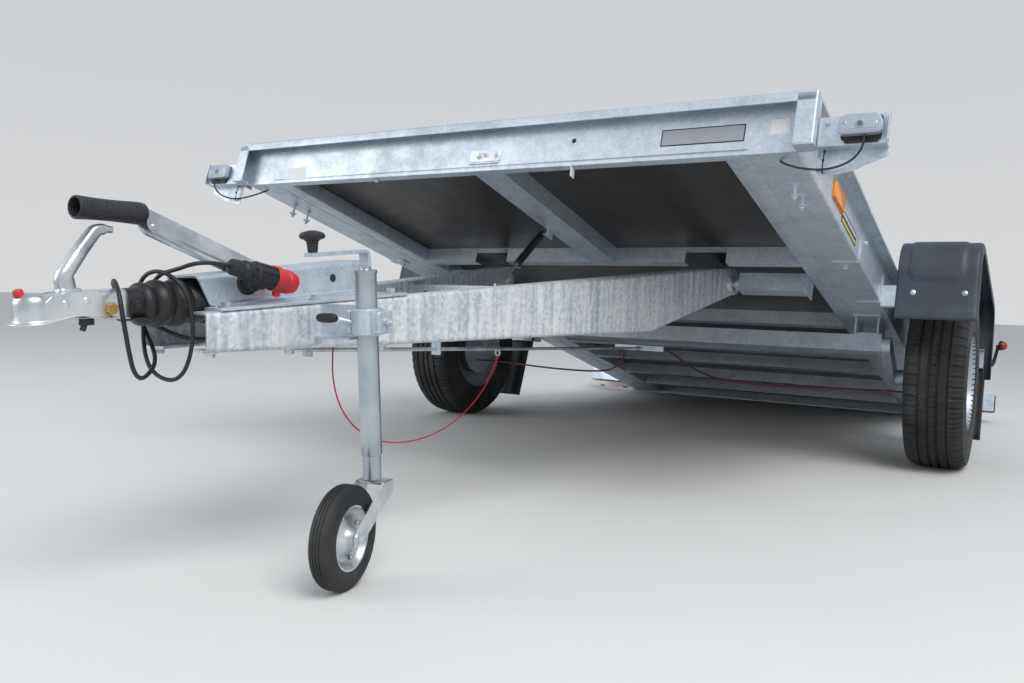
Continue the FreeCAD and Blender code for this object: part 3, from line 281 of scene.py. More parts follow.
def lathe(profile, centre, axis, **options):
    """One part for piece(): the turned rows, joined around, and capped where they end off the axis."""
    return turn(profile, centre, axis, **options), True, True


def piece(name, parts, finish, body, slot, nodes=(), place=on_ground, crease=32.0):
    """Mesh object from grids of points in one frame. A part is (points, ring, capped): point (i, j) is joined
    to (i + 1, j) and (i, j + 1), the last column to the first with ring, and the end rows are closed by a
    face each with capped. Each part has its doubles merged and its faces turned outward before they join."""
    work = bmesh.new()
    for points, ring, capped in parts:
        rows, columns = points.shape[:2]
        index = np.arange(rows * columns).reshape(rows, columns)
        wide = np.hstack([index, index[:, :1]]) if ring else index
        quads = np.stack([wide[:-1, :-1], wide[1:, :-1], wide[1:, 1:], wide[:-1, 1:]], -1)
        faces = quads.reshape(-1, 4).tolist()
        if capped:
            faces += [index[0].tolist(), index[-1][::-1].tolist()]
        shell = bpy.data.meshes.new("shell")
        shell.from_pydata(place(points).reshape(-1, 3).tolist(), [], faces)
        alone = bmesh.new()
        alone.from_mesh(shell)
        bmesh.ops.remove_doubles(alone, verts=alone.verts, dist=2e-6)
        bmesh.ops.recalc_face_normals(alone, faces=alone.faces)
        alone.to_mesh(shell)
        alone.free()
        work.from_mesh(shell)
        bpy.data.meshes.remove(shell)
    mesh = bpy.data.meshes.new(name)
    work.to_mesh(mesh)
    work.free()
    mesh.polygons.foreach_set("use_smooth", np.ones(len(mesh.polygons), bool))
    mesh.set_sharp_from_angle(angle=math.radians(crease))
    mesh.materials.append(finish.material)
    made = bpy.data.objects.new(name, mesh)
    bpy.context.scene.collection.objects.link(made)
    if body:
        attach(made, body)
    if nodes:
        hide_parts(*nodes)
    return made


moulded = speckled("moulded_black", 25, shade(26, 27, 29), shade(44, 45, 47), 0.36, 0.25, 60,
                   relief=(1400, 1.0, 0.35, 0.0003))
red_cap = speckled("red_plastic", 30, shade(196, 40, 46), shade(222, 62, 66), 0.32, 0.2, 80)
plug_run = np.linalg.norm(PLUG_END - PLUG_START)
plug_axis = (PLUG_END - PLUG_START) / plug_run
plug_down = np.cross(plug_axis, [1.0, 0.0, 0.0])
GRIP_FROM, GRIP_TO, EYE_RUN = 58.0, 108.0, 50.0
HINGE_AT = PLUG_START + plug_axis * (plug_run * 0.76) + plug_down * 17
PARK = PLUG_START + plug_axis * (plug_run * 0.53) + plug_down * 14


def flutes(run, angle):
    """Nine grooves, 2 mm deep, along the plug's grip."""
    return -2.0 * (np.cos(9 * angle) > 0.35) * ((run > GRIP_FROM + 3) & (run < GRIP_TO - 4))


def flats(run, angle):
    """Six spanner flats on the nut of the cord gland."""
    return -1.4 * (np.cos(6 * angle) > 0.4) * ((run > 3) & (run < 21))


plug_parts = [
    lathe([(0, 5.2), (1, 8.5), (3, 13.6), (5, 15.6), (22, 16), (24, 14.4), (28, 14.4), (30, 17), (34, 19),
           (GRIP_FROM - 4, 19), (GRIP_FROM - 2, 17.5)], PLUG_START, plug_axis, sides=96, wave=flats),
    lathe([(GRIP_FROM - 5, 0), (GRIP_FROM - 5, 17), (GRIP_FROM - 1, 22.4), (GRIP_FROM + 2.8, 23.5),
           (GRIP_FROM + 3.2, 23.5), (GRIP_TO - 4.2, 23.5), (GRIP_TO - 3.8, 23.5), (GRIP_TO - 1, 23.2),
           (GRIP_TO - 1, 0)], PLUG_START, plug_axis, sides=108, wave=flutes)]
for radius, drop in ((9.0, 0.0), (5.5, 12.0)):
    plug_parts.append(lathe([(0, 0), (0, radius), (20 - 0.2 * radius, radius), (21, radius - 1.2),
                             (21, radius - 3), (18.5, radius - 4), (18.5, 0)],
                            PLUG_START + plug_axis * EYE_RUN + plug_down * drop, (1, 0, 0), sides=28))
plug = piece("plug_body", plug_parts, moulded, "drawbar", "plastic", nodes=("lead_plug",))
piece("plug_cap", [
    lathe([(GRIP_TO - 2, 0), (GRIP_TO - 2, 24.4), (GRIP_TO, 25.5), (GRIP_TO + 12, 25.5), (GRIP_TO + 15, 23.4),
           (plug_run - 26, 23), (plug_run - 24, 24.4), (plug_run - 14, 24.2), (plug_run - 10, 21.4),
           (plug_run - 1, 20.6), (plug_run, 19), (plug_run, 0)], PLUG_START, plug_axis, sides=64),
    lathe([(0, 0), (0, 8), (15, 8), (17, 6), (17, 0)], HINGE_AT, plug_down, sides=32)],
      red_cap, "drawbar", "red")
piece("plug_holder", [
    lathe([(44, 0), (44, 25), (51, 25), (52.5, 23.5), (53, 19), (60, 18), (70, 17), (72, 14), (90, 14),
           (92, 12), (92, 0)], (0, PARK[1], PARK[2]), (1, 0, 0), sides=40)], moulded, "drawbar", "plastic")


# The breakaway cable: a thin steel rope in a red plastic sheath, which pulls the brake on if the trailer
# comes loose. It hangs in one long bow from the housing to the hook ring under the brake rod.
PULL_D = 0.0034
PULL = [
    (0.0600, -1.6079, 0.4560), (0.0610, -1.6099, 0.4240), (0.0640, -1.6119, 0.3760),
    (0.0700, -1.5999, 0.3220), (0.0760, -1.5699, 0.2760), (0.0800, -1.5219, 0.2400),
    (0.0820, -1.4579, 0.2160), (0.0820, -1.3839, 0.2060), (0.0780, -1.3059, 0.2050),
    (0.0700, -1.2279, 0.2120), (0.0600, -1.1519, 0.2260), (0.0460, -1.0759, 0.2460),
    (0.0300, -1.0019, 0.2700), (0.0140, -0.9339, 0.3000), (0.0000, -0.8779, 0.3340),
    (-0.0100, -0.8399, 0.3630), (-0.0140, -0.8219, 0.3890)]
red_sheath = speckled("cable_red", 40, shade(176, 30, 34), shade(206, 52, 50), 0.3, 0.2, 120)
pull = route("breakaway_rope", PULL, PULL_D, red_sheath)
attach(pull, "drawbar")
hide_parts("breakaway_cable")


# The brake cables: steel ropes in brown-red plastic conduits, one to each wheel. They leave the equaliser
# on the brake rod, sag under the bed, and enter the wheels' back plates.
BRAKE_D, TUBE_SIDES = 0.008, 12
BRAKE = [
    (0.0840, 0.2352, 0.3840), (0.0860, 0.2621, 0.3810), (0.0980, 0.2941, 0.3680),
    (0.1200, 0.3261, 0.3450), (0.1480, 0.3581, 0.3180), (0.1840, 0.3921, 0.2920),
    (0.2300, 0.4241, 0.2710), (0.2920, 0.4481, 0.2590), (0.3720, 0.4641, 0.2540),
    (0.4640, 0.4741, 0.2520), (0.5600, 0.4801, 0.2530), (0.6540, 0.4841, 0.2560),
    (0.7420, 0.4861, 0.2600), (0.8200, 0.4871, 0.2630), (0.8840, 0.4881, 0.2650),
    (0.9340, 0.4891, 0.2640), (0.9764, 0.4901, 0.2650)]
FAR_START = (-0.1120, 0.2352, 0.3840)
conduit = speckled("cable_brown", 12, shade(92, 44, 36), shade(120, 62, 50), 0.4, 0.2, 60)


def tube_along(curve, diameter):
    """Grid around a curve's own line: at each of its points a circle square to the run there, turned as
    little as it can be from the last one, so that the tube doesn't twist."""
    bare = curve.copy()
    bare.data = curve.data.copy()
    bare.data.bevel_depth = 0.0
    bpy.context.scene.collection.objects.link(bare)
    line = bpy.data.meshes.new_from_object(bare)
    path = np.zeros(len(line.vertices) * 3)
    line.vertices.foreach_get("co", path)
    bpy.data.objects.remove(bare)
    bpy.data.meshes.remove(line)
    path = path.reshape(-1, 3)
    run = np.gradient(path, axis=0)
    run /= np.linalg.norm(run, axis=1, keepdims=True)
    flat = np.cross(run, [0.0, 0.0, 1.0])
    flat /= np.linalg.norm(flat, axis=1, keepdims=True)
    rise = np.cross(flat, run)
    angle = np.arange(TUBE_SIDES) * 2 * np.pi / TUBE_SIDES
    circle = np.cos(angle)[None, :, None] * flat[:, None] + np.sin(angle)[None, :, None] * rise[:, None]
    return path, path[:, None] + circle * diameter / 2


def as_placed(points):
    """Points that are in metres already."""
    return points


for side, points in (("left", BRAKE), ("right", [FAR_START] + [(-x, y, z) for x, y, z in BRAKE[1:]])):
    curve = route("brake_route", points, BRAKE_D, conduit)
    path, grid = tube_along(curve, BRAKE_D)
    bpy.data.objects.remove(curve)
    tube = piece("brake_conduit_" + side, [(grid, True, True)], conduit, None, "cable_red",
                 nodes=("brake_cables",), place=as_placed)
    reach = points[-1][0]
    0.12 * reach
    0.62 * reach
    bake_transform(tube)


# The marker lamps' leads: thin black two-core cables from the back of each front lamp, down over the rail
# and into a hole in its foot.
LAMP_LEAD_D = 0.005
LAMP_LEAD = [
    (1.0410, -1.0329, 0.9380), (1.0410, -1.0369, 0.9220), (1.0350, -1.0359, 0.9030),
    (1.0180, -1.0309, 0.8860), (0.9930, -1.0249, 0.8750), (0.9620, -1.0189, 0.8700),
    (0.9300, -1.0119, 0.8720), (0.9000, -1.0029, 0.8780), (0.8740, -0.9919, 0.8870),
    (0.8560, -0.9809, 0.8950), (0.8480, -0.9719, 0.9010)]
for side, sign in (("left", 1), ("right", -1)):
    points = [(sign * x, y, z) for x, y, z in LAMP_LEAD]
    thin = route("marker_lead_" + side, points, LAMP_LEAD_D, sheath)
    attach(thin, "chassis")
    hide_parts("marker_leads")


# The bed's frame: cold-bent galvanised sheet, 3 mm thick. A channel open to the front closes the bed's
# high edge, channels with a wide foot run down both sides, and square tubes and ribs carry the floor.
# A section is given by its sheet's middle line, which lies MID from the faces.
TILT = math.radians(15.67)
TAIL_Y = 2244.5245
BED_LENGTH, BED_HALF, RAIL_WEB_X, RAIL_HEIGHT, RAIL_FOOT = 3421.0, 937.6, 900.0, 132.5, 120.0
FRONT_DEPTH, FRONT_LIP, FRONT_BAND, TAIL_DEPTH, LIP = 40.0, 26.0, 45.0, 45.0, 12.5
INNER_LOW_X, INNER_SIZE, FLOOR_W, FLOOR_THICK = 720.0, 60.0, 52.0, 12.0
FRONT = -BED_LENGTH
SHEET, MID = 3.0, 1.5


def turned(points, angle, first, second):
    """Points turned by an angle, from the first of two of their axes towards the second."""
    a, b = points[..., first], points[..., second]
    moved = np.array(points, float)
    moved[..., first] = a * math.cos(angle) - b * math.sin(angle)
    moved[..., second] = a * math.sin(angle) + b * math.cos(angle)
    return moved


def frame_at(origin, angle, first, second):
    """Function that places points of a part's level frame: turned by the angle, then moved by the origin in
    millimetres, and given in metres."""
    return lambda points: (turned(points, angle, first, second) + origin) / 1000.0


on_bed = frame_at([0.0, TAIL_Y, 0.0], -TILT, 1, 2)


def bent(points, radius, steps=5):
    """A line whose corners become curves: each is left and met again at radius times the tangent of half
    its turn, along the parabola that has the corner as its control point."""
    line = np.array(points, float)
    before, corner, after = line[:-2], line[1:-1], line[2:]
    into, out = corner - before, after - corner
    into_long, out_long = (np.linalg.norm(run, axis=1, keepdims=True) for run in (into, out))
    into, out = into / into_long, out / out_long
    half = np.arccos(np.clip((into * out).sum(1, keepdims=True), -1, 1)) / 2
    cut = np.minimum(radius * np.tan(half), 0.45 * np.minimum(into_long, out_long))
    s = np.linspace(0, 1, steps)[None, :, None]
    curve = (1 - s) ** 2 * (corner - into * cut)[:, None] + 2 * s * (1 - s) * corner[:, None]
    curve = curve + s ** 2 * (corner + out * cut)[:, None]
    return np.vstack([line[:1], curve.reshape(-1, line.shape[1]), line[-1:]])


def sheet_section(points, thickness, radius, steps=5):
    """Outline of a bent sheet: its middle line, shifted by half the thickness to one side and the other."""
    line = bent(points, radius, steps)
    run = np.gradient(line, axis=0)
    run /= np.linalg.norm(run, axis=1, keepdims=True)
    across = np.stack([-run[:, 1], run[:, 0]], 1) * thickness / 2
    return np.vstack([line + across, (line - across)[::-1]])


def outline(points, radius, steps=4):
    """Closed outline with rounded corners."""
    return bent([points[-1], *points, points[0]], radius, steps)[1:-1]


def inset(section, amount):
    """A closed outline moved inward by an amount, along the mean of the normals of its two edges."""
    ahead, behind = np.roll(section, -1, 0) - section, section - np.roll(section, 1, 0)
    area = (section[:, 0] * np.roll(section[:, 1], -1) - np.roll(section[:, 0], -1) * section[:, 1]).sum()
    mean = ahead / (np.linalg.norm(ahead, axis=1, keepdims=True) + 1e-9)
    mean = mean + behind / (np.linalg.norm(behind, axis=1, keepdims=True) + 1e-9)
    mean /= np.linalg.norm(mean, axis=1, keepdims=True) + 1e-9
    return section + np.sign(area) * amount * np.stack([-mean[:, 1], mean[:, 0]], 1)


def run_along(section, low, high, axis, edge=0.0):
    """Bar of one section from low to high along an axis (0, 1 or 2), the other two coordinates being the
    section's, with its ends' edges broken by a small chamfer where edge is given."""
    stops = [(low, edge), (low + edge, 0), (high - edge, 0), (high, edge)] if edge else [(low, 0), (high, 0)]
    rings = [np.insert(inset(section, depth) if depth else section, axis, at, axis=1) for at, depth in stops]
    return np.stack(rings), True, True


def block(x, y, z, radius=2.0, edge=0.6, axis=2):
    """Block between pairs of coordinates, rounded about one axis and chamfered at its two ends."""
    spans = [x, y, z]
    low, high = spans.pop(axis)
    (a, b), (c, d) = spans
    return run_along(outline([(a, c), (b, c), (b, d), (a, d)], radius), low, high, axis, edge)


def folded(line, thickness, radius, low, high, axis, edge=0.0):
    """Bar of bent sheet, run from low to high along an axis, whose section has this middle line."""
    return run_along(sheet_section(line, thickness, radius), low, high, axis, edge)


def mirrored(parts):
    """The same parts on the trailer's right side."""
    return [(points * [-1.0, 1.0, 1.0], ring, capped) for points, ring, capped in parts]


def both_sides(name, parts, finish, body, slot, nodes=(), **options):
    """A piece for the left side and its mirror image for the right, both given back. The side's name is put
    at the end of the piece's and the nodes' names, and of the body's if that ends in an underscore."""
    return [piece(name + side, turned_over, finish, body + side if body.endswith("_") else body, slot,
                  nodes=tuple(node + side for node in nodes), **options)
            for side, turned_over in (("left", parts), ("right", mirrored(parts)))]


def galvanised(name, light, dark, streak=(1.0, 1.0, 1.0), size=26.0, amount=1.0, metal=0.6):
    """Hot-dipped zinc: grey crystals of about 8 mm, soft cloudy streaks, and long shallow waves."""
    zinc = Finish(name, Metallic=metal)
    crystal = zinc.add("TexVoronoi", None, {"Vector": zinc.place(), "Scale": 120.0}, out="Color")
    grain = zinc.add("SeparateColor", None, {0: crystal})
    cloud = zinc.noise(size, streak, detail=5.0, rough=0.6)
    wide = zinc.noise(2.2, detail=2.0)
    tone = zinc.between(cloud * 0.60 + wide * 0.28 + grain * 0.12, 0.30, 0.66)
    zinc.feed(Base_Color=zinc.blend(tone, dark, light),
              Roughness=0.34 + 0.16 * (1 - tone) + 0.07 * grain)
    zinc.bump(cloud * 0.8 + grain * 0.05, 0.25 * amount, 0.002)
    return zinc


steel = galvanised("galvanised_bed", shade(214, 222, 230), shade(178, 190, 202), size=14.0, amount=0.4)
WEB_V, INNER_EDGE = FRONT + FRONT_DEPTH - MID, RAIL_WEB_X - RAIL_FOOT
front_parts = [
    folded([(FRONT + MID, RAIL_HEIGHT - FRONT_LIP), (FRONT + MID, RAIL_HEIGHT - MID),
            (WEB_V, RAIL_HEIGHT - MID), (WEB_V, 0)], SHEET, 4.5, -BED_HALF + 3.2, BED_HALF - 3.2, 0),
    folded([(WEB_V, 14), (WEB_V, MID), (FRONT + FRONT_DEPTH + 24, MID)], SHEET, 4, -INNER_EDGE, INNER_EDGE, 0)]
end_parts = [
    folded([(BED_HALF - FRONT_BAND, FRONT + MID), (BED_HALF - MID, FRONT + MID),
            (BED_HALF - MID, FRONT + FRONT_DEPTH)], SHEET, 4, 3.2, RAIL_HEIGHT - 3.2, 2),
    block((BED_HALF - FRONT_BAND, BED_HALF), (FRONT, FRONT + FRONT_DEPTH), (0, SHEET), 4)]
piece("front_channel", front_parts + end_parts + mirrored(end_parts), steel, "chassis", "galvanised",
      nodes=("front_rail",), place=on_bed)
both_sides("side_channel_", [
    folded([(INNER_EDGE, MID), (RAIL_WEB_X - MID, MID), (RAIL_WEB_X - MID, RAIL_HEIGHT - MID),
            (BED_HALF - MID, RAIL_HEIGHT - MID), (BED_HALF - MID, RAIL_HEIGHT - LIP)],
           SHEET, 5, FRONT + FRONT_DEPTH, -TAIL_DEPTH, 1)],
           steel, "chassis", "galvanised", nodes=("side_rail_",), place=on_bed)
skin = outline([(INNER_LOW_X, 0), (INNER_LOW_X + INNER_SIZE, 0), (INNER_LOW_X + INNER_SIZE, FLOOR_W),
                (INNER_LOW_X, FLOOR_W)], 6)
core = inset(skin, SHEET)
ends = (FRONT + FRONT_DEPTH + 24, -TAIL_DEPTH)
rings = [np.insert(loop, 1, at, axis=1) for loop, at in
         ((skin, ends[0]), (skin, ends[1]), (core, ends[1]), (core, ends[0]), (skin, ends[0]))]
both_sides("long_tube_", [(np.stack(rings), True, False)], steel, "chassis", "galvanised",
           nodes=("inner_rail_",), place=on_bed)
piece("tail_channel", [folded([(-MID, FLOOR_W + FLOOR_THICK), (-MID, MID), (-TAIL_DEPTH, MID)], SHEET, 5,
                              -BED_HALF + 15, BED_HALF - 15, 0)],
      steel, "chassis", "galvanised", nodes=("tail_rail",), place=on_bed)


def dress(node, finish):
    """A finish for a node of the frame whose own shape is right."""
    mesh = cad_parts[node].data
    mesh.materials.clear()
    mesh.materials.append(finish.material)


for node in ("floor_ribs", "centre_stiffener", "axle_beam", "axle_bracket_left", "axle_bracket_right",
             "pivot_stub_left", "pivot_stub_right", "swing_arm_left", "swing_arm_right", "cross_member",
             "rod_fittings"):
    dress(node, steel)


# The floor: phenol-filmed birch plywood, 12 mm thick, brown-black and glossy below and pressed with a wire
# mesh pattern on top, with its pale layers showing at the edges.
film = Finish("film_plywood", Roughness=0.32)
lift = film.add("VectorMath", {"operation": "DOT_PRODUCT"}, {
    0: film.place(), 1: (0.0, math.sin(TILT), math.cos(TILT))}, out="Value")
deck_low = FLOOR_W / 1000 + TAIL_Y / 1000 * math.sin(TILT)
deck = film.between(lift, deck_low + 0.0114, deck_low + 0.0119)
mesh_print = film.add("TexVoronoi", {"feature": "DISTANCE_TO_EDGE"}, {"Vector": film.place(), "Scale": 190.0},
                      out="Distance")
print_line = (1 - film.between(mesh_print, 0.02, 0.12)) * deck
layers = film.add("TexWave", {"bands_direction": "Z"}, {"Vector": film.place(), "Scale": 95.0}, out="Fac")
side_mask = (film.between(lift, deck_low + 0.0004, deck_low + 0.0012)
             * (1 - film.between(lift, deck_low + 0.0108, deck_low + 0.0114)))
film_tone = film.blend(film.noise(6.0, detail=5.0), shade(24, 22, 21), shade(44, 39, 36))
film.feed(Base_Color=film.blend(side_mask, film_tone,
                                film.blend(layers, shade(128, 92, 60), shade(176, 138, 98))),
          Roughness=0.26 + 0.22 * film.noise(14.0) + 0.18 * deck)
film.bump(print_line + 0.12 * film.noise(40.0), 0.5, 0.0012)
dress("floor_panel", film)


# The drawbar: two tapered channels of 5 mm galvanised plate, open towards each other, rounded at the rear
# about the pins that the bed tilts on. Their zinc ran down as it set, so it is streaked from top to bottom.
# Their zinc is also painted near white, lighter than the bed's, as painted sunlight on the beams.
SHAFT_SLOPE = math.radians(2.6)
PIVOT = np.array([0.0, -89.584, 639.191])
BEAM_REAR_X, BEAM_FRONT_X, BEAM_FRONT_Y, BEAM_WIDTH, BEAM_SHEET = 455.0, 94.3, -1890.0, 50.0, 5.0
BEAM_TOP_FRONT, BEAM_TOP_REAR = -35.5, 57.0
BEAM_LOW_FRONT, BEAM_LOW_REAR, BEAM_CORNER_Y = -110.3, -143.0, -465.0
REAR_RISE = 109.0 / 513.0
BEAM_TURN = math.atan((BEAM_REAR_X - BEAM_FRONT_X) / -BEAM_FRONT_Y)
BEAM_LONG = math.cos(BEAM_TURN)
PIN_R, RING_R, BUSH_IN, BUSH_OUT = 12.0, 24.0, 22.0, 10.0


on_bar = frame_at(PIVOT, SHAFT_SLOPE, 1, 2)


def on_beam(points):
    """Points of the left beam's own frame, turned so that its outer face runs from the pivot to the front."""
    return turned(points, -BEAM_TURN, 0, 1) + [BEAM_REAR_X, 0.0, 0.0]


def hollow(profile, centre, axis, **options):
    """One part for piece(): a profile turned around an axis and closed from its last point to its first."""
    return turn([*profile, profile[0]], centre, axis, **options), True, False


def beam_top(y):
    """Height of the beams' upper edge."""
    return BEAM_TOP_REAR + (BEAM_TOP_FRONT - BEAM_TOP_REAR) * y / BEAM_FRONT_Y


def beam_low(y):
    """Height of the beams' lower edge ahead of its corner."""
    share = (y - BEAM_CORNER_Y) / (BEAM_FRONT_Y - BEAM_CORNER_Y)
    return BEAM_LOW_REAR + (BEAM_LOW_FRONT - BEAM_LOW_REAR) * share


def beam_face(y):
    """Distance of the left beam's outer face from the middle."""
    return BEAM_REAR_X + (BEAM_FRONT_X - BEAM_REAR_X) * y / BEAM_FRONT_Y


# Painted sunlight: the beams' zinc is a lighter copy of the bed's, near white and less metallic so that it
# shows bright; its streaks are the zinc's own.
sunlit_beam_zinc = galvanised("galvanised_beam_painted_sunlit", shade(246, 249, 251), shade(172, 182, 190), streak=(1.0, 1.0, 0.09),
                        size=52.0, amount=1.2, metal=0.42)
t = BEAM_SHEET / 2
stations = []
for y, top, low in ((BEAM_FRONT_Y / BEAM_LONG, BEAM_TOP_FRONT, BEAM_LOW_FRONT),
                    (BEAM_CORNER_Y / BEAM_LONG, beam_top(BEAM_CORNER_Y), BEAM_LOW_REAR),
                    (0.0, BEAM_TOP_REAR, BEAM_LOW_REAR - BEAM_CORNER_Y * REAR_RISE), (28.0, 50.0, -38.5)):
    line = [(-BEAM_WIDTH, top - t), (-t, top - t), (-t, low + t), (-BEAM_WIDTH, low + t)]
    stations.append(np.insert(sheet_section(line, BEAM_SHEET, 9), 1, y, axis=1))
nose = outline([(20, 52), (28, 50), (50, 28), (58, -4), (48, -34), (20, -44)], 12)
beam_parts = [(np.stack(stations), True, True), run_along(nose, -BEAM_SHEET, 0, 0, 0.6)]
beam_parts = [(on_beam(points), ring, capped) for points, ring, capped in beam_parts]
beam_parts.append(hollow([(0, PIN_R + 0.3), (0, RING_R), (BUSH_IN + BUSH_OUT, RING_R),
                          (BUSH_IN + BUSH_OUT, PIN_R + 0.3)],
                         (BEAM_REAR_X - BUSH_IN, 0, 0), (1, 0, 0), sides=32))
both_sides("beam_", beam_parts, sunlit_beam_zinc, "drawbar", "galvanised", nodes=("drawbar_beam_",), place=on_bar)


# The overrun housing: a base plate bolted on the beams, the shaft's tube under a folded cover, and the
# bright draw shaft inside it, whose front end carries the coupling head.
SHAFT_Z, SHAFT_R, HOUSING_R, HOUSING_FRONT, HOUSING_REAR = -20.0, 25.0, 38.0, -1812.0, -1414.0
COVER_HALF, COVER_SHEET, COVER_TOP_AT, COVER_SLOPE = 46.0, 4.0, (-1869.0, 31.3), 0.0753
PLATE_FRONT, NOTCH_HALF, NOSE_LEAN = -1860.0, 47.0, 0.518
plate_rings = []
for lift_by, edge in ((0, 0.8), (0.8, 0), (5.2, 0), (6, 0.8)):
    ring = inset(outline([(-beam_face(PLATE_FRONT), PLATE_FRONT), (-NOTCH_HALF, PLATE_FRONT),
                          (-NOTCH_HALF, HOUSING_FRONT), (NOTCH_HALF, HOUSING_FRONT), (NOTCH_HALF, PLATE_FRONT),
                          (beam_face(PLATE_FRONT), PLATE_FRONT), (beam_face(HOUSING_REAR), HOUSING_REAR),
                          (-beam_face(HOUSING_REAR), HOUSING_REAR)], 8), edge)
    plate_rings.append(np.column_stack([ring, beam_top(ring[:, 1]) + lift_by]))
cover_rings = []
for y, lean in ((COVER_TOP_AT[0], NOSE_LEAN), (HOUSING_FRONT, 0.0), (HOUSING_REAR, 0.0)):
    top = COVER_TOP_AT[1] + COVER_SLOPE * (y - COVER_TOP_AT[0])
    low = float(beam_top(y)) + 6
    half_line = [(COVER_HALF - 2, top - 2), (COVER_HALF - 2, low + 2), (COVER_HALF + 14, low + 2)]
    section = sheet_section([(-x, z) for x, z in half_line[::-1]] + half_line, COVER_SHEET, 9)
    cover_rings.append(np.insert(section, 1, y + lean * np.clip(top - 4 - section[:, 1], 0, 80), axis=1))
piece("housing_cover", [(np.stack(plate_rings), True, True), (np.stack(cover_rings), True, True)], steel,
      "drawbar", "galvanised", nodes=("overrun_housing",), place=on_bar)
piece("housing_tube", [
    hollow([(0, SHAFT_R + 0.3), (0, HOUSING_R), (HOUSING_REAR - HOUSING_FRONT, HOUSING_R),
            (HOUSING_REAR - HOUSING_FRONT, SHAFT_R + 0.3)], (0, HOUSING_FRONT, SHAFT_Z), (0, 1, 0))],
      steel, "drawbar", "galvanised", place=on_bar)


# The bellows: black rubber that keeps dirt off the shaft, in four folds between a collar with a boss on
# each side and the flange plate on the housing's front.
BELLOWS_R, BELLOWS_FRONT = 45.0, -2002.0
rubber = speckled("black_rubber", 20, shade(20, 21, 23), shade(38, 39, 41), 0.30, 0.28, 35,
                  relief=(300, 3.0, 0.25, 0.0006))
fold_end = HOUSING_FRONT - BELLOWS_FRONT - 12.0
share = np.linspace(0, 1, 21)[:-1]
folds = [np.column_stack([start + share * (end - start),
                          valley + (peak - valley) * np.sin(np.pi * share) ** 0.7])
         for start, end, valley, peak in
         ((30, 56, 31, 40), (56, 93, 33, 44.5), (93, 135, 34, BELLOWS_R), (135, fold_end, 34, 40))]
bellows_profile = ([(0, SHAFT_R + 0.3), (0, 27), (2, 29.5), (24, 30.5), (27, 30.8)] + np.vstack(folds).tolist()
                   + [(fold_end, 38), (fold_end + 1.5, 41.5), (fold_end + 11, 41.5), (fold_end + 12, 40.5),
                      (fold_end + 12, SHAFT_R + 0.3)])
bosses = [lathe([(0, 0), (0, 13.5), (6, 13), (7, 11), (7, 9.6), (9.4, 9), (10, 8), (10, 0)],
                (sign * 25, BELLOWS_FRONT + 17, SHAFT_Z + 2), (sign, 0, 0), sides=28) for sign in (-1, 1)]
fin = block((-26, 33), (BELLOWS_FRONT + 12, BELLOWS_FRONT + 44), (SHAFT_Z - 27, SHAFT_Z - 22), 3, 0.8)
bellows_parts = [lathe(bellows_profile, (0, BELLOWS_FRONT, SHAFT_Z), (0, 1, 0), sides=72), fin]
piece("shaft_bellows", bellows_parts + bosses, rubber, "drawbar", "rubber", nodes=("bellows",), place=on_bar)


# The coupling head: pressed and polished zinc-plated steel. A dome holds the ball, its wall runs back as
# two cheeks to the shaft, and a brim stiffens the whole lower edge. A red cap closes the wear indicator.
BALL_Y, HEAD_R, HEAD_BRIM = -2156.0, 31.0, 7.0


def zinc_plate(name, light, dark, rough=0.22):
    """Bright zinc plating: nearly even, with faint rubbed clouds and fine scratches."""
    plated = Finish(name, Metallic=0.85)
    cloud, fine = plated.noise(11.0, detail=4.0), plated.noise(260.0, (1.0, 1.0, 0.2), detail=2.0)
    plated.feed(Base_Color=plated.blend(plated.between(cloud, 0.35, 0.65), dark, light),
                Roughness=rough + 0.16 * cloud + 0.08 * fine)
    plated.bump(fine * 0.5 + cloud, 0.15, 0.0008)
    return plated


bright = zinc_plate("bright_zinc", shade(226, 230, 232), shade(178, 184, 190))
back = np.linspace(1, 0, 24)[:-1] * (BELLOWS_FRONT - 0.3 - BALL_Y)
bow = np.linspace(0, np.pi, 33)


def head_half(run):
    """Half width of the head behind the ball, which it pulls in by 3 mm over 70 mm."""
    return HEAD_R - 3.0 * np.sin(np.clip(run / 70, 0, 1) * np.pi / 2)


def head_top(run):
    """Height over the shaft's middle: the dome, a saddle behind it, and the level neck."""
    return np.interp(run, [0, 12, 40, 96, 154], [25.0, 20.5, 25.0, 28.5, 29.5])


def brim_low(run):
    """Height of the brim, which lies lowest at the nose and swings up under the cheeks' middle."""
    return np.interp(run, [-34, -5, 25, 48, 66, 76, 96, 154],
                     [-28.0, -26.5, -21.5, -16.0, -15.0, -16.5, -21.5, -23.5])


def thicken(made, thickness, offset=-1.0):
    """Gives a surface its wall: inward from the drawn face, or half to each side with offset 0."""
    wall = made.modifiers.new("wall", "SOLIDIFY")
    wall.thickness, wall.offset = thickness, offset


side_x = np.concatenate([head_half(back), HEAD_R * np.cos(bow), -head_half(back[::-1])])
side_run = np.concatenate([back, -HEAD_R * np.sin(bow), back[::-1]])
spine_run = np.maximum(side_run, 0)
away = np.stack([np.gradient(side_run), -np.gradient(side_x)], 1)
away /= -np.linalg.norm(away, axis=1, keepdims=True)
boxy = 0.66 - 0.12 * np.clip(spine_run / 60, 0, 1)
low_line = brim_low(side_run)
rows = [np.column_stack([side_x + away[:, 0] * out, side_run + away[:, 1] * out, low_line + up])
        for out, up in ((HEAD_BRIM, 0), (HEAD_BRIM, 2), (HEAD_BRIM - 1, 3), (2.5, 3.5), (0.8, 5), (0, 8))]
rows.append(np.column_stack([side_x, side_run, low_line * 0.3]))
for t in np.linspace(0, np.pi / 2, 14):
    rows.append(np.column_stack([side_x * np.cos(t) ** boxy,
                                 spine_run + (side_run - spine_run) * np.cos(t) ** boxy,
                                 head_top(spine_run) * np.sin(t) ** boxy]))
head_grid = np.stack(rows) + [0.0, BALL_Y, SHAFT_Z]
thicken(piece("coupling_dome", [(head_grid, False, False)], bright, "drawbar", "zinc",
              nodes=("coupling_head",), place=on_bar, crease=50.0), 0.003)
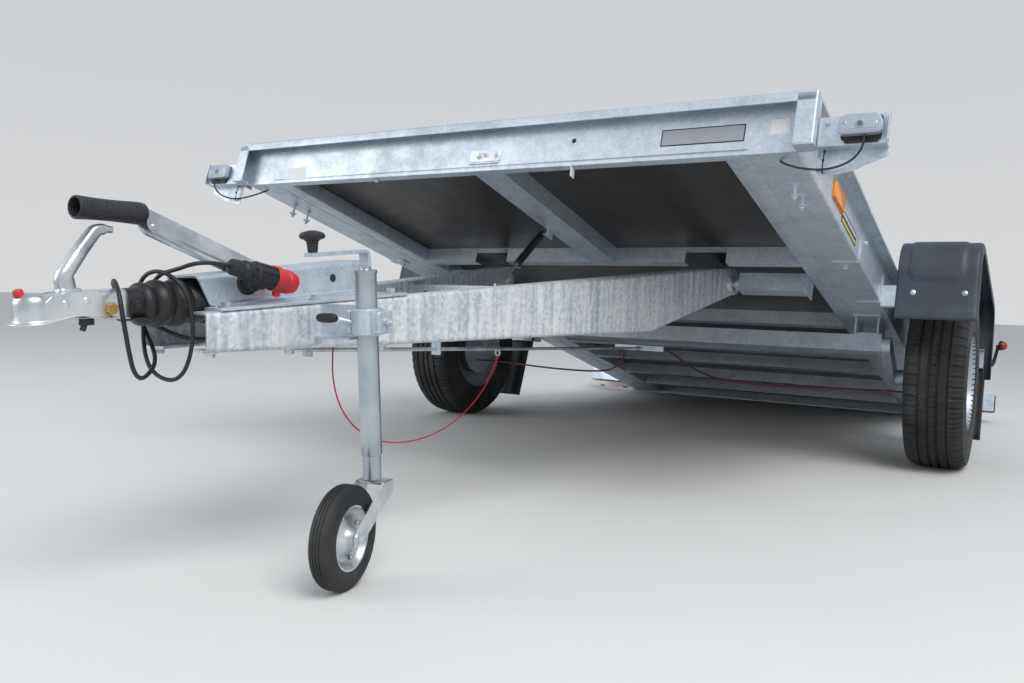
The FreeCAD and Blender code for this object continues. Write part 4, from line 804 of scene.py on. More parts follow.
cheek = outline([(2, -20), (2, 8), (14, 19), (40, 24.5), (96, 27.5), (104, 20), (104, -18), (84, -18),
                 (66, -12), (44, -13), (24, -18)], 9, 6)
shaft_long = HOUSING_REAR - BALL_Y - 54
head_fittings = [hollow([(0, SHAFT_R - 6), (0, SHAFT_R - 1), (1, SHAFT_R), (shaft_long - 2, SHAFT_R),
                         (shaft_long, SHAFT_R - 6)], (0, BALL_Y + 60, SHAFT_Z), (0, 1, 0))]
for sign in (-1, 1):
    head_fittings.append(run_along(cheek + [BALL_Y, SHAFT_Z], sign * 28.5 - 2.5, sign * 28.5 + 2.5, 0, 0.9))
    head_fittings += [lathe([(0, 0), (0, 6), (1.5, 6), (3.4, 4), (4, 0)],
                            (sign * 30.6, BALL_Y + run, SHAFT_Z + rise), (sign, 0, 0), sides=20)
                      for run, rise in ((37, 7), (74, 11))]
piece("coupling_cheeks", head_fittings, bright, "drawbar", "zinc", place=on_bar)
piece("wear_cap", [lathe([(-4, 0), (-4, 8.3), (3.6, 8.3), (6, 7), (7.3, 3.6), (7.3, 0)],
                         (0, BALL_Y - 23, SHAFT_Z + 24), (0, -0.3, 0.95), sides=32)],
      red_cap, "drawbar", "red", place=on_bar)


def bolt(place_at, axis, across, head_high, washer=0.0, shank=0.0):
    """Hexagon head with broken corners, a washer under it and a shank beyond, along an axis."""
    parts = []
    base = np.array(place_at, float)
    axis = np.array(axis, float)
    if washer:
        parts.append(lathe([(0, 0), (0, washer), (1.6, washer), (2, washer - 0.4), (2, 0)], base, axis,
                           sides=24))
        base = base + axis / np.linalg.norm(axis) * 2
    r = across / 2 / math.cos(math.pi / 6)
    parts.append(lathe([(0, 0), (0, r * 0.97), (0.6, r), (head_high - 1.2, r), (head_high, r * 0.86),
                        (head_high, 0)], base, axis, sides=6, phase=0.3))
    if shank:
        parts.append(lathe([(0, 0), (0, across * 0.28), (shank - 1, across * 0.28), (shank, across * 0.22),
                            (shank, 0)], base, axis, sides=16))
    return parts


brass = zinc_plate("yellow_zinc", shade(206, 176, 104), shade(150, 120, 62), rough=0.3)
piece("head_bolts", [part for sign in (1, -1)
                     for part in bolt((sign * 28, BALL_Y + 118, SHAFT_Z - 4), (sign, 0, 0), 19, 10)],
      brass, "drawbar", "zinc", place=on_bar)
piece("wear_latch", [block((16, 28), (BALL_Y + 66, BALL_Y + 90), (SHAFT_Z - 31, SHAFT_Z - 20), 4, 0.8),
                     lathe([(0, 0), (0, 5), (10, 5), (11, 4), (11, 0)], (22, BALL_Y + 74, SHAFT_Z - 30),
                           (0, -0.4, -1), sides=20)], moulded, "drawbar", "plastic", place=on_bar)


# The coupling's handle: one forging that is lifted to let go of the ball, with a bent flat arm that
# ends level in a finger grip.
handle_line = bent([(58, 22), (53, 52), (82, 92), (112, 130), (128, 133), (140, 132)], 20, 7)
handle_run = np.gradient(handle_line, axis=0)
handle_run /= np.linalg.norm(handle_run, axis=1, keepdims=True)
handle_share = np.linspace(0, 1, len(handle_line))
thick = np.interp(handle_share, [0, 0.25, 0.6, 0.85, 1], [17, 12.5, 11.5, 9.0, 6.5])
wide = np.interp(handle_share, [0, 0.2, 0.6, 1], [11, 13, 12, 12.5])
oval = outline([(-1, -1), (1, -1), (1, 1), (-1, 1)], 0.9, 6)
handle_rings = [np.column_stack([oval[:, 0] * w, y - oval[:, 1] * d * run[1] + BALL_Y,
                                 z + oval[:, 1] * d * run[0] + SHAFT_Z])
                for (y, z), run, d, w in zip(handle_line, handle_run, thick, wide)]
foot = block((-13, 13), (BALL_Y + 40, BALL_Y + 80), (SHAFT_Z + 18, SHAFT_Z + 32), 8, 2.5)
piece("lifting_handle", [(np.stack(handle_rings), True, True), foot], bright, "drawbar", "zinc",
      nodes=("coupling_handle",), place=on_bar, crease=50)


# The handbrake: a lever folded from zinc-plated sheet with two lengthwise beads, which comes up out of the
# housing's cover, with a black plastic grip whose skin is grained like leather.
LEVER_END, LEVER_REAR, LEVER_SLOPE, LEVER_HALF, LEVER_CORNER = (-1952.0, 133.0), -1666.0, 0.372, 16.0, 21.0
corner_end = LEVER_END[0] + 22
lever_y = np.concatenate([np.linspace(LEVER_END[0], corner_end, 12)[:-1],
                          np.linspace(corner_end, LEVER_REAR, 52)])
lever_mid = LEVER_END[1] - LEVER_SLOPE * (lever_y - LEVER_END[0])
cover_top = COVER_TOP_AT[1] + COVER_SLOPE * (lever_y - COVER_TOP_AT[0])
lever_x = np.array([-16.0, -16.0, -16.0, -16.0, -15.4, -13.5, -9.5, -7.5, -5.0, -2.5, 0.0])
lever_rise = np.array([-21.0, -8.0, 4.0, 15.0, 18.5, 20.8, 21.0, 19.2, 19.2, 21.0, 21.0])
lever_x, lever_rise = (np.concatenate([half_line, sign * half_line[-2::-1]])
                       for half_line, sign in ((lever_x, -1), (lever_rise, 1)))
into_corner = np.clip(LEVER_END[0] + LEVER_CORNER - lever_y, 0, LEVER_CORNER)
lever_edge = lever_rise[0] + LEVER_CORNER - np.sqrt(LEVER_CORNER ** 2 - into_corner ** 2)
lever_top = lever_mid[:, None] + np.maximum(lever_rise, lever_edge[:, None])
lever_grid = np.stack([np.broadcast_to(lever_x, lever_top.shape),
                       np.broadcast_to(lever_y[:, None], lever_top.shape),
                       np.maximum(lever_top, cover_top[:, None] + 0.3)], -1)
thicken(piece("brake_lever", [(lever_grid, False, False)], bright, "drawbar", "zinc",
              nodes=("handbrake_lever",), place=on_bar, crease=40), 0.0028)
piece("lever_rivet", [lathe([(0, 0), (0, 7), (1.6, 7), (3.2, 5), (3.2, 2.5), (2.4, 0)],
                            (sign * LEVER_HALF, LEVER_END[0] + 14, LEVER_END[1] - 14), (sign, 0, 0), sides=24)
                      for sign in (-1, 1)], bright, "drawbar", "zinc", place=on_bar)
grip_finish = Finish("grained_grip", Roughness=0.42)
grain = grip_finish.add("TexVoronoi", {"feature": "DISTANCE_TO_EDGE"},
                        {"Vector": grip_finish.place((1.0, 0.6, 1.0)), "Scale": 260.0}, out="Distance")
grip_finish.feed(Base_Color=grip_finish.blend(grip_finish.between(grain, 0.0, 0.35), shade(48, 50, 54),
                                              shade(24, 25, 27)),
                 Roughness=0.34 + 0.3 * grip_finish.between(grain, 0.0, 0.3))
grip_finish.bump(grip_finish.between(grain, 0.0, 0.3), 0.7, 0.0008)
GRIP_AT = np.array([0, LEVER_END[0] + 6, LEVER_END[1] + 10])
grip_profile = [(0, 8), (0, 15), (4, 19), (12, 20.4), (26, 20.2), (45, 19.4), (70, 18.8), (95, 19),
                (112, 19.6), (124, 20.2), (129, 20.4), (132.5, 20), (134, 18.6), (133, 16.5), (122, 15),
                (108, 14.5), (106, 0)]
piece("lever_grip", [lathe(grip_profile, GRIP_AT, (0, -1, 0.037), sides=56)], grip_finish, "drawbar",
      "plastic", nodes=("handbrake_grip",), place=on_bar)


# The brake rod: a zinc-plated bar from the housing to the equaliser, under the beams, with the wire hook
# ring that the breakaway cable is clipped into.
ROD_FRONT, ROD_REAR, ROD_R = np.array([-14.0, -1570.0, -134.0]), np.array([-14.0, 322.0, -272.0]), 5.0
rod_long = np.linalg.norm(ROD_REAR - ROD_FRONT)
rod_axis = (ROD_REAR - ROD_FRONT) / rod_long
hook_share = (-742.0 - ROD_FRONT[1]) / (ROD_REAR[1] - ROD_FRONT[1])
hook_at = ROD_FRONT + (ROD_REAR - ROD_FRONT) * hook_share - [0, 0, 12]
turn_once, wire_angle = np.meshgrid(np.linspace(0, 2 * np.pi, 25), np.arange(10) * 2 * np.pi / 10,
                                    indexing="ij")
hook_ring = hook_at + np.stack([(8 + 2 * np.cos(wire_angle)) * np.cos(turn_once), 2 * np.sin(wire_angle),
                                (8 + 2 * np.cos(wire_angle)) * np.sin(turn_once)], -1)
thread = np.arange(rod_long - 74, rod_long - 2, 1.0)
thread_parts = np.column_stack([thread, ROD_R - 0.45 * (np.arange(len(thread)) % 2)]).tolist()
piece("brake_rod_bar", [lathe([(0, 0), (0, ROD_R - 1), (1, ROD_R), (rod_long - 76, ROD_R)] + thread_parts
                              + [(rod_long, ROD_R - 1), (rod_long, 0)], ROD_FRONT, rod_axis, sides=20),
                        (hook_ring, True, False)]
      + bolt(ROD_FRONT + rod_axis * (rod_long - 12), rod_axis, 14, 8, 9)
      + bolt(ROD_FRONT + rod_axis * (rod_long - 30), -rod_axis, 14, 8, 9),
      bright, "drawbar", "zinc", nodes=("brake_rod",), place=on_bar)


# The damper: a gas strut with a black painted tube and a bright rod, between the bed and the drawbar.
painted = speckled("black_paint", 18, shade(24, 25, 27), shade(40, 41, 43), 0.26, 0.2, 40)
dress("damper_cylinder", painted)
dress("damper_rod", bright)


# The jockey wheel's post: a zinc-plated steel tube in a cast clamp, with a screw inside that a flat crank
# with a black mushroom knob turns, and a wheel on a pressed fork at its foot.
POST = np.array([260.0, -2206.6 + GROUND_SHIFT, 198.0])
POST_LEAN, POST_R, POST_LONG, POST_LOW = math.radians(4.9), 21.2, 406.0, 44.0
TUBE_WALL, SLOT_TOP, SLOT_HALF_TURN, SLOT_TURN = 2.4, POST_LOW + 26.0, 0.09, 0.35
on_post = frame_at(POST, POST_LEAN, 1, 2)
post_zinc = zinc_plate("post_zinc", shade(190, 197, 202), shade(170, 178, 184), rough=0.2)
slot_angle = np.linspace(SLOT_HALF_TURN, 2 * np.pi - SLOT_HALF_TURN, 60) + SLOT_TURN
slot_rise, slot_radius = np.array([
    (POST_LOW, POST_R - TUBE_WALL), (POST_LOW, POST_R - 0.4), (POST_LOW + 0.8, POST_R), (SLOT_TOP, POST_R),
    (SLOT_TOP, POST_R - TUBE_WALL), (POST_LOW, POST_R - TUBE_WALL)]).T[:, :, None]
slotted = np.stack([slot_radius * np.cos(slot_angle), slot_radius * np.sin(slot_angle),
                    slot_rise + np.zeros(len(slot_angle))], -1)
piece("post_tube", [
    (slotted, False, False),
    hollow([(0, POST_R - TUBE_WALL), (0, POST_R), (POST_LONG - SLOT_TOP, POST_R),
            (POST_LONG - SLOT_TOP, POST_R - TUBE_WALL)], (0, 0, SLOT_TOP), (0, 0, 1), sides=56),
    lathe([(0, 0), (0, POST_R + 1.5), (5.5, POST_R + 1.5), (7, POST_R), (7, 11.5), (8, 11), (16, 11), (17, 9),
           (17, 0)], (0, 0, POST_LONG), (0, 0, 1), sides=48)],
      post_zinc, "drawbar", "zinc", nodes=("jockey_tube",), place=on_post)
CRANK_RISE, CRANK_ARM, CRANK_WIDTH, CRANK_THICK = 47.0, 151.0, 25.0, 7.0
crank_line = [(0.0, POST_LONG + 12), (0.0, POST_LONG + CRANK_RISE - 3.5),
              (-CRANK_ARM, POST_LONG + CRANK_RISE - 7.5)]
crank_section = sheet_section(crank_line, CRANK_THICK, 12, 8)
piece("crank_bar", [run_along(crank_section, -CRANK_WIDTH / 2, CRANK_WIDTH / 2, 0, 0.8)], steel, "drawbar",
      "galvanised", nodes=("jockey_crank",), place=on_post)
knob_profile = [(0, 0), (0, 8.5), (2, 9), (15, 10.2), (21, 11.5), (24, 15), (25, 19.5), (27, 22.5), (30, 23.5),
                (33, 23.2), (36.5, 20), (39, 13), (40.6, 6), (41, 0)]
piece("crank_knob_turned", [lathe(knob_profile, (0, -CRANK_ARM + 10, POST_LONG + CRANK_RISE - 4), (0, 0, 1),
                                  sides=56)],
      moulded, "drawbar", "plastic", nodes=("crank_knob",), place=on_post)
CLAMP_Z, CLAMP_H, CLAMP_R = 285.0, 52.0, 31.2
clamp_mid = CLAMP_Z + CLAMP_H / 2
clamp_parts = [
    hollow([(0, POST_R + 0.1), (0, CLAMP_R - 2), (2, CLAMP_R), (CLAMP_H - 2, CLAMP_R), (CLAMP_H, CLAMP_R - 2),
            (CLAMP_H, POST_R + 0.1)], (0, 0, CLAMP_Z), (0, 0, 1)),
    block((26, CLAMP_R + 16), (-20, 24), (CLAMP_Z + 4, CLAMP_Z + CLAMP_H - 4), 6, 2, axis=0),
    block((-CLAMP_R - 6, -26), (-22, 22), (CLAMP_Z + 2, CLAMP_Z + CLAMP_H - 2), 6, 2, axis=0)]
clamp_parts += bolt((CLAMP_R + 16, 2, clamp_mid), (1, 0, 0), 13, 7, 9, 12)
piece("post_clamp", clamp_parts, steel, "drawbar", "galvanised", place=on_post)
clamp_far = POST[1] - PIVOT[1] - (CLAMP_Z + CLAMP_H) * math.sin(POST_LEAN) - 12
clamp_reach = POST[0] - beam_face(clamp_far) - 0.6
bracket_line = [(-2, CLAMP_Z + CLAMP_H + 6), (-2, CLAMP_Z - 8), (-26, CLAMP_Z - 8)]
piece("post_bracket", [folded(bracket_line, 4, 5, -clamp_reach, -CLAMP_R + 6, 0, 0.6)], steel, "drawbar",
      "galvanised", nodes=("jockey_clamp",), place=on_post)
screw_start, screw_axis = np.array([-22.0, -24.0, clamp_mid]), np.array([-0.25, -1.0, 0.28])
screw_axis /= np.linalg.norm(screw_axis)
screw_end = screw_start + screw_axis * 44
screw_rows = [(run, 6 - 0.5 * (run % 2)) for run in range(2, 30)]
piece("clamp_screw", [lathe([(0, 0), (0, 6), *screw_rows, (31, 8), (40, 8), (46, 6), (46, 0)], screw_start,
                            screw_axis, sides=20)], bright, "drawbar", "zinc", place=on_post)
piece("clamp_grip", [lathe([(0, 0), (0, 5), (3, 7.6), (10, 9.2), (23, 9.6), (36, 9.2), (43, 7.6), (46, 5),
                            (46, 0)], screw_end + [14, -1, 0], (-1, -0.1, 0), sides=32)],
      moulded, "drawbar", "plastic", nodes=("clamp_handle",), place=on_post)
dress("jockey_inner_tube", post_zinc)


# The jockey wheel: a pressed fork trails it behind the post; a zinc-plated rim of two dished halves runs on
# a bolt between the fork's legs, with a solid grooved rubber tyre.
TRAIL_TURN = math.radians(12.7)
SMALL_R, SMALL_WIDE, SMALL_RIM_R, TRAIL = 100.0, 46.0, 62.0, 120.0
FORK_GAP, FORK_LEG = 5.0, 4.0
TRAIL_AT = POST + [0.0, (POST[2] - SMALL_R) * math.tan(POST_LEAN), -POST[2]]
on_trail = frame_at(TRAIL_AT, TRAIL_TURN, 0, 1)
fork_top = POST[2] - 9.0
half = SMALL_WIDE / 2 + FORK_GAP
leg = outline([(-POST_R, fork_top), (POST_R, fork_top), (POST_R, fork_top - 24), (-TRAIL + 15, SMALL_R - 14),
               (-TRAIL - 13, SMALL_R - 14), (-TRAIL - 15, SMALL_R + 8)], 8, 5)
fork_parts = [run_along(leg, low, low + FORK_LEG, 0, 0.7) for low in (-half - FORK_LEG, half)]
fork_parts.append(block((-half - FORK_LEG + 0.5, half + FORK_LEG - 0.5), (-POST_R, POST_R),
                        (fork_top - 6, fork_top), 5, 1))
for sign in (1, -1):
    fork_parts += bolt((sign * (half + FORK_LEG), -TRAIL, SMALL_R), (sign, 0, 0), 17, 6, 12)
fork_parts.append(lathe([(0, 0), (0, 6), (2 * half + 8, 6), (2 * half + 8, 0)],
                        (-half - 4, -TRAIL, SMALL_R), (1, 0, 0), sides=20))
piece("jockey_fork_pressed", fork_parts, bright, "jockey_fork", "zinc", nodes=("jockey_fork",), place=on_trail)


def small_grooves(run, angle):
    """Three narrow ring grooves, 2.2 mm deep, in the jockey wheel's tyre."""
    from_middle = np.abs(run - SMALL_WIDE / 2)
    return np.where((np.abs(from_middle - 6.5) < 0.8) | (from_middle < 0.8), -2.2, 0.0)


small_rows = [(4, SMALL_RIM_R), (1.5, SMALL_RIM_R + 2), (0, SMALL_RIM_R + 12), (1.2, SMALL_RIM_R + 24),
              (2.2, SMALL_R - 11), (3.4, SMALL_R - 8), (6, SMALL_R - 3.4), (9, SMALL_R - 1.2),
              (12, SMALL_R - 0.2)]
small_cut = [15.6, 15.8, 17.2, 17.4, 22.1, 22.3, 23.0]
small_rows += [(run, SMALL_R) for run in small_cut]
small_rows += [(SMALL_WIDE - run, radius) for run, radius in small_rows[-2::-1]]
tyre_rubber = Finish("tyre_rubber", Roughness=0.75)
dust = tyre_rubber.noise(7.0, detail=5.0)
tyre_rubber.feed(Base_Color=tyre_rubber.blend(tyre_rubber.between(dust, 0.35, 0.7), shade(30, 31, 33),
                                              shade(66, 66, 66)),
                 Roughness=0.6 + 0.3 * dust)
tyre_rubber.bump(tyre_rubber.noise(500, detail=2.0), 0.3, 0.0005)
SMALL_HUB = (-SMALL_WIDE / 2, -TRAIL, SMALL_R)
piece("jockey_tyre_grooved", [hollow(small_rows, SMALL_HUB, (1, 0, 0), sides=96, wave=small_grooves)],
      tyre_rubber, "jockey_wheel", "tyre", nodes=("jockey_tyre",), place=on_trail)
dish = [(5, SMALL_RIM_R + 3), (3.5, SMALL_RIM_R + 1), (4.5, SMALL_RIM_R - 3), (9, SMALL_RIM_R - 6),
        (15, SMALL_RIM_R - 9), (19, SMALL_RIM_R - 16), (20, 36), (16, 30), (12, 25), (9, 21), (4, 18.5),
        (-2, 17), (-4.4, 16.4), (-4.6, 15), (-4.6, 6.6)]
dish_back = [(SMALL_WIDE - run, radius) for run, radius in dish[::-1]]
RIVET_AT = 45.0
rim_parts = [hollow([*dish, *dish_back], SMALL_HUB, (1, 0, 0), sides=64)]
for angle in 0.4 + np.arange(4) * np.pi / 2:
    rim_parts += [lathe([(0, 0), (0, 5), (1.6, 4.6), (2.4, 2.5), (2.6, 0)],
                        (sign * 6.8, -TRAIL + RIVET_AT * math.cos(angle),
                         SMALL_R + RIVET_AT * math.sin(angle)), (sign, 0, 0), sides=16) for sign in (-1, 1)]
piece("jockey_rim_dished", rim_parts, bright, "jockey_wheel", "zinc", nodes=("jockey_rim",), place=on_trail,
      crease=40)


# The road wheels: 195-wide tubeless tyres with four ring grooves, cut shoulders and sipes, on grey steel
# rims with vent holes and five bolts; a cast drum and the swing arm's hub lie inside.
TYRE_R, RIM_R, WHEEL_X = 315.0, 180.0, 1066.0
HUB = np.array([WHEEL_X, 0.0, TYRE_R])
TREAD_PERIODS, PERIOD_STEPS = 54, 9
tread_x = np.array([-92, -86, -80, -72.4, -71.2, -66, -58, -49.5, -48.5, -41.5, -40.5, -32, -24, -18.5, -17.5,
                    -9.5, -8.5, -4])
tread_x = np.concatenate([tread_x, [0.0], -tread_x[::-1]])
crown = TYRE_R - 0.4 - 9.0 * (np.abs(tread_x) / 92) ** 4 - 8.0 * np.clip(np.abs(tread_x) - 78, 0, 14) / 14
side_rows = [(-88, RIM_R - 4), (-93, RIM_R + 3), (-95, RIM_R + 9), (-94.2, RIM_R + 13), (-96.5, RIM_R + 26),
             (-97.5, RIM_R + 46), (-97.5, RIM_R + 66), (-96.9, RIM_R + 70), (-97.2, RIM_R + 72),
             (-97.2, RIM_R + 84), (-96.6, RIM_R + 86), (-95.6, RIM_R + 104), (-94.0, RIM_R + 116)]


def tread(run, angle):
    """Depth cut into the tyre: four ring grooves 7 mm deep; across the shoulders a slot in each period, and
    on the ribs between the grooves a narrow slanted sipe, both by the angle's share of its period."""
    x = np.abs(run)
    grooves = ((x > 41) & (x < 49)) | ((x > 9) & (x < 18))
    share = (angle / (2 * np.pi) * TREAD_PERIODS + np.sign(run) * x / 60.0 * (x > 18) * (x < 49)) % 1.0
    slot = (share < 1.2 / PERIOD_STEPS) & (x > 50) & (x < 95)
    fine = (share > 4.4 / PERIOD_STEPS) & (share < 5.4 / PERIOD_STEPS) & (x > 53) & (x < 90)
    sipe = (share < 1.0 / PERIOD_STEPS) & (((x > 18) & (x < 41)) | (x < 9))
    return np.where(grooves, -7.0, np.where(slot, -5.0, np.where(fine, -1.8, np.where(sipe, -3.2, 0.0))))


tyre_rows = side_rows + list(zip(tread_x.tolist(), crown.tolist()))
tyre_rows += [(-run, radius) for run, radius in side_rows[::-1]]
rim_paint = speckled("silver_rim", 9.0, shade(196, 202, 210), shade(170, 178, 188), 0.3, 0.2, 24.0,
                     relief=(160.0, 3.0, 0.15, 0.0005), Metallic=0.5)
cast_iron = speckled("cast_drum", 20.0, shade(70, 72, 74), shade(110, 110, 108), 0.5, 0.3, 40.0,
                     relief=(220.0, 3.0, 0.5, 0.001), Metallic=0.4)
barrel = [(-92, 184), (-92.6, 190), (-90, 191), (-88.6, 186), (-86, 178), (-80, 174), (-60, 171),
          (-50, 166), (-42, 152), (40, 152), (50, 166), (62, 171), (80, 174), (86, 178), (88.6, 186),
          (90, 191), (92.6, 190), (92, 184), (89, 175), (80, 170), (62, 167), (52, 162), (43, 148),
          (-45, 148), (-54, 162), (-60, 167), (-80, 170), (-89, 175)]
VENTS, VENT_AT, VENT_R, DISH_IN, DISH_OUT = 12, 124.0, 11.0, 106.0, 148.0
hole_turn, reach = np.meshgrid(np.linspace(0, 2 * np.pi, 33), np.linspace(0, 1, 5), indexing="ij")


def dish_depth(radius):
    """How far the disc stands out from the wheel's middle: flat at the bolts, a ring fold, then inward."""
    return np.interp(radius, [0, 74, 84, 96, 108, 122, 140, 150], [6, 6, 9, 17, 21, 19, 8, 2])


def vent_patch(k):
    """The disc between two radii over one hole's share of the turn: from the hole's circle, each point runs
    straight out to the rim of its cell, in (radius, angle) coordinates."""
    cell = np.pi / VENTS
    u, v = np.cos(hole_turn), np.sin(hole_turn)
    grow = 1 / np.maximum(np.abs(u), np.abs(v))
    out_r = np.where(u > 0, DISH_OUT - VENT_AT, VENT_AT - DISH_IN) * u * grow
    out_a = cell * v * grow
    radius = VENT_AT + (1 - reach) * VENT_R * u + reach * out_r
    angle = 2 * cell * k + (1 - reach) * VENT_R / VENT_AT * v + reach * out_a
    rolled = np.where(reach == 0, -3.5, 0.0)
    return np.stack([HUB[0] + dish_depth(radius) + rolled, HUB[1] + radius * np.cos(angle),
                     HUB[2] + radius * np.sin(angle)], -1)


disc_rows = [(dish_depth(r), r) for r in (40.0, 52.0, 66.0, 74.0, 80.0, 86.0, 92.0, 98.0, DISH_IN)]
wheel_parts = [hollow(barrel, HUB, (1, 0, 0), sides=96),
               (turn(disc_rows, HUB, (1, 0, 0), sides=96), True, False)]
wheel_parts += [(vent_patch(k), False, False) for k in range(VENTS)]
BOLTS, BOLT_AT, VALVE_TURN, VALVE_AT = 5, 56.0, 1.2, 150.0
bolt_parts = []
for a in 0.3 + 2 * np.pi * np.arange(BOLTS) / BOLTS:
    bolt_parts += bolt(HUB + [6, BOLT_AT * math.cos(a), BOLT_AT * math.sin(a)], (1, 0, 0), 17, 14, 12)
hub_cap = lathe([(0, 0), (0, 33), (14, 33), (16, 31.5), (30, 31), (36, 28), (38.4, 20), (39, 0)],
                HUB + [6, 0, 0], (1, 0, 0), sides=56)
drum = [(-81, 60), (-81, 112), (-77, 113), (-74, 110), (-70, 110), (-68, 112), (-60, 112), (-58, 110),
        (-54, 110), (-52, 112), (-40, 112), (-36, 108), (-34, 100), (-30, 64), (-4, 60), (2, 60), (2, 17),
        (-40, 17), (-40, 60)]
valve_side = np.array([0.0, math.cos(VALVE_TURN), math.sin(VALVE_TURN)])
valve = lathe([(0, 0), (0, 5), (6, 4), (26, 3.6), (27, 4.4), (36, 4.4), (37, 3), (37, 0)],
              HUB + [28, 0, 0] + VALVE_AT * valve_side, [0.8, 0, 0] - 0.5 * valve_side, sides=16)
for name, parts, finish, slot, nodes, crease in (
        ("road_tyre_", [hollow(tyre_rows, HUB, (1, 0, 0), sides=TREAD_PERIODS * PERIOD_STEPS, wave=tread)],
         tyre_rubber, "tyre", ("tyre_",), 28),
        ("road_rim_", wheel_parts, rim_paint, "rim", ("wheel_rim_",), 40),
        ("wheel_bolts_", bolt_parts, bright, "zinc", (), 32),
        ("hub_cap_", [hub_cap], rim_paint, "rim", (), 32),
        ("brake_drum_", [hollow(drum, HUB, (1, 0, 0), sides=72)], cast_iron, "cast", (), 32),
        ("tyre_valve_", [valve], moulded, "rubber", (), 32)):
    both_sides(name, parts, finish, "wheel_", slot, nodes=nodes, crease=crease)


# The mudguards: blue-grey moulded plastic with a raised panel over the crown and a turned-down outer wall,
# screwed to a zinc channel at each end; a thick rubber flap hangs behind each wheel.
WHEEL_V = -1757.0
WHEEL_W = (TYRE_R + WHEEL_V * math.sin(TILT)) / math.cos(TILT)
GUARD_IN, GUARD_WIDE, GUARD_HALF, GUARD_TOP, GUARD_END, GUARD_CORNER = 945.0, 250.0, 448.0, 412.0, 108.0, 150.0
GUARD_OUT = GUARD_IN + GUARD_WIDE
guard_plastic = Finish("guard_plastic", Roughness=0.45)
worn = guard_plastic.noise(5.0, detail=5.0)
guard_plastic.feed(Base_Color=guard_plastic.blend(guard_plastic.between(worn, 0.3, 0.7), shade(50, 56, 66),
                                                  shade(66, 73, 84)),
                   Roughness=0.38 + 0.22 * guard_plastic.noise(30.0))
guard_plastic.bump(guard_plastic.noise(900, detail=2.0), 0.35, 0.0004)
arch = bent([(-GUARD_HALF, GUARD_END), (-GUARD_HALF, GUARD_TOP), (GUARD_HALF, GUARD_TOP),
             (GUARD_HALF, GUARD_END)], GUARD_CORNER, 24)
arch = np.vstack([np.linspace(arch[0], arch[1], 16)[:-1], arch[1:25], np.linspace(arch[24], arch[25], 12)[1:],
                  arch[26:-1], np.linspace(arch[-2], arch[-1], 16)[1:]])
arch_run = np.gradient(arch, axis=0)
arch_run /= np.linalg.norm(arch_run, axis=1, keepdims=True)
inward = np.stack([arch_run[:, 1], -arch_run[:, 0]], 1)
across_line = bent([(GUARD_IN + 0.5, 20), (GUARD_IN + 0.5, 0), (GUARD_OUT - 0.5, 0), (GUARD_OUT - 0.5, 34)],
                   20, 7)
flat_x = np.linspace(GUARD_IN + 24, GUARD_OUT - 24, 40)
across = np.vstack([across_line[:8], np.column_stack([flat_x, np.zeros(40)]), across_line[8:]])
along = np.concatenate([[0.0], np.cumsum(np.linalg.norm(np.diff(arch, axis=0), axis=1))])


def ease(value):
    """The value held between 0 and 1, with a smooth start and end."""
    held = np.clip(value, 0, 1)
    return held ** 2 * (3 - 2 * held)


from_end = np.minimum(along, along[-1] - along)[:, None]
from_side = np.minimum(across[:, 0] - (GUARD_IN + 34), GUARD_OUT - 46 - across[:, 0])[None, :]
panel = ease(from_side / 7) * ease((from_end - 134 - 18 * (1 - ease(from_side / 26))) / 8)
sunk = across[None, :, 1] + 4.5 * (1 - panel) + 0.4 - 3.0 * ease((36 - from_end) / 5)
guard_grid = np.stack([np.broadcast_to(across[:, 0], sunk.shape),
                       arch[:, :1] + inward[:, :1] * sunk + WHEEL_V,
                       arch[:, 1:] + inward[:, 1:] * sunk + WHEEL_W], -1)
flap_top, flap_v = WHEEL_W + GUARD_END + 58, WHEEL_V + GUARD_HALF - 4
flap_x, flap_w = np.meshgrid(np.linspace(GUARD_IN + 22, GUARD_OUT - 22, 30), np.linspace(0, 1, 14),
                             indexing="ij")
flap_grid = np.stack([flap_x, flap_v - 3 - 15.0 * flap_w ** 1.6 - 1.2 * np.cos(flap_x / 9.0) * (flap_w > 0.2),
                      flap_top - flap_w * 307], -1)
for guard in both_sides("guard_shell_", [(guard_grid, False, False)], guard_plastic, "chassis", "plastic",
                        nodes=("mudguard_",), place=on_bed, crease=60):
    thicken(guard, 0.0035)
for flap in both_sides("mud_flap_", [(flap_grid, False, False)], rubber, "chassis", "rubber", place=on_bed,
                       crease=60):
    thicken(flap, 0.004, offset=0.0)


# The sheet brackets on the side rails: a channel at each end of the mudguard, the front lamps' plate with
# its gusset, and the tail lamps' plate, all cut and bent from galvanised sheet.
GUARD_LEG_LOW, GUARD_LEG_HIGH = WHEEL_W + 152.0, WHEEL_W + 226.0
LAMP_PLATE_V, LAMP_PLATE_OUT = FRONT + 26.0, BED_HALF + 152.0
TAIL_LAMP_OUT, TAIL_LAMP_LOW, TAIL_LAMP_HIGH, TAIL_LAMP_FRONT = BED_HALF + 219.0, 22.0, 112.0, -165.0
GUSSET_V, GUSSET_SHEET = FRONT + 52.0, 2.4
bracket_parts = []
for sign in (-1, 1):
    v = WHEEL_V + sign * (GUARD_HALF - 12)
    bracket_parts.append(folded([(v - sign * 16, GUARD_LEG_LOW), (v, GUARD_LEG_LOW), (v, GUARD_LEG_HIGH),
                                 (v - sign * 16, GUARD_LEG_HIGH)], SHEET, 5,
                                RAIL_WEB_X, GUARD_OUT - 30, 0, 0.6))
bracket_parts.append(folded([(BED_HALF + 1.5, FRONT + 86), (BED_HALF + 1.5, LAMP_PLATE_V + 1.2),
                             (LAMP_PLATE_OUT - 1.4, LAMP_PLATE_V + 1.2),
                             (LAMP_PLATE_OUT - 1.4, LAMP_PLATE_V - 15)], GUSSET_SHEET, 4, 4, 73, 2, 0.5))
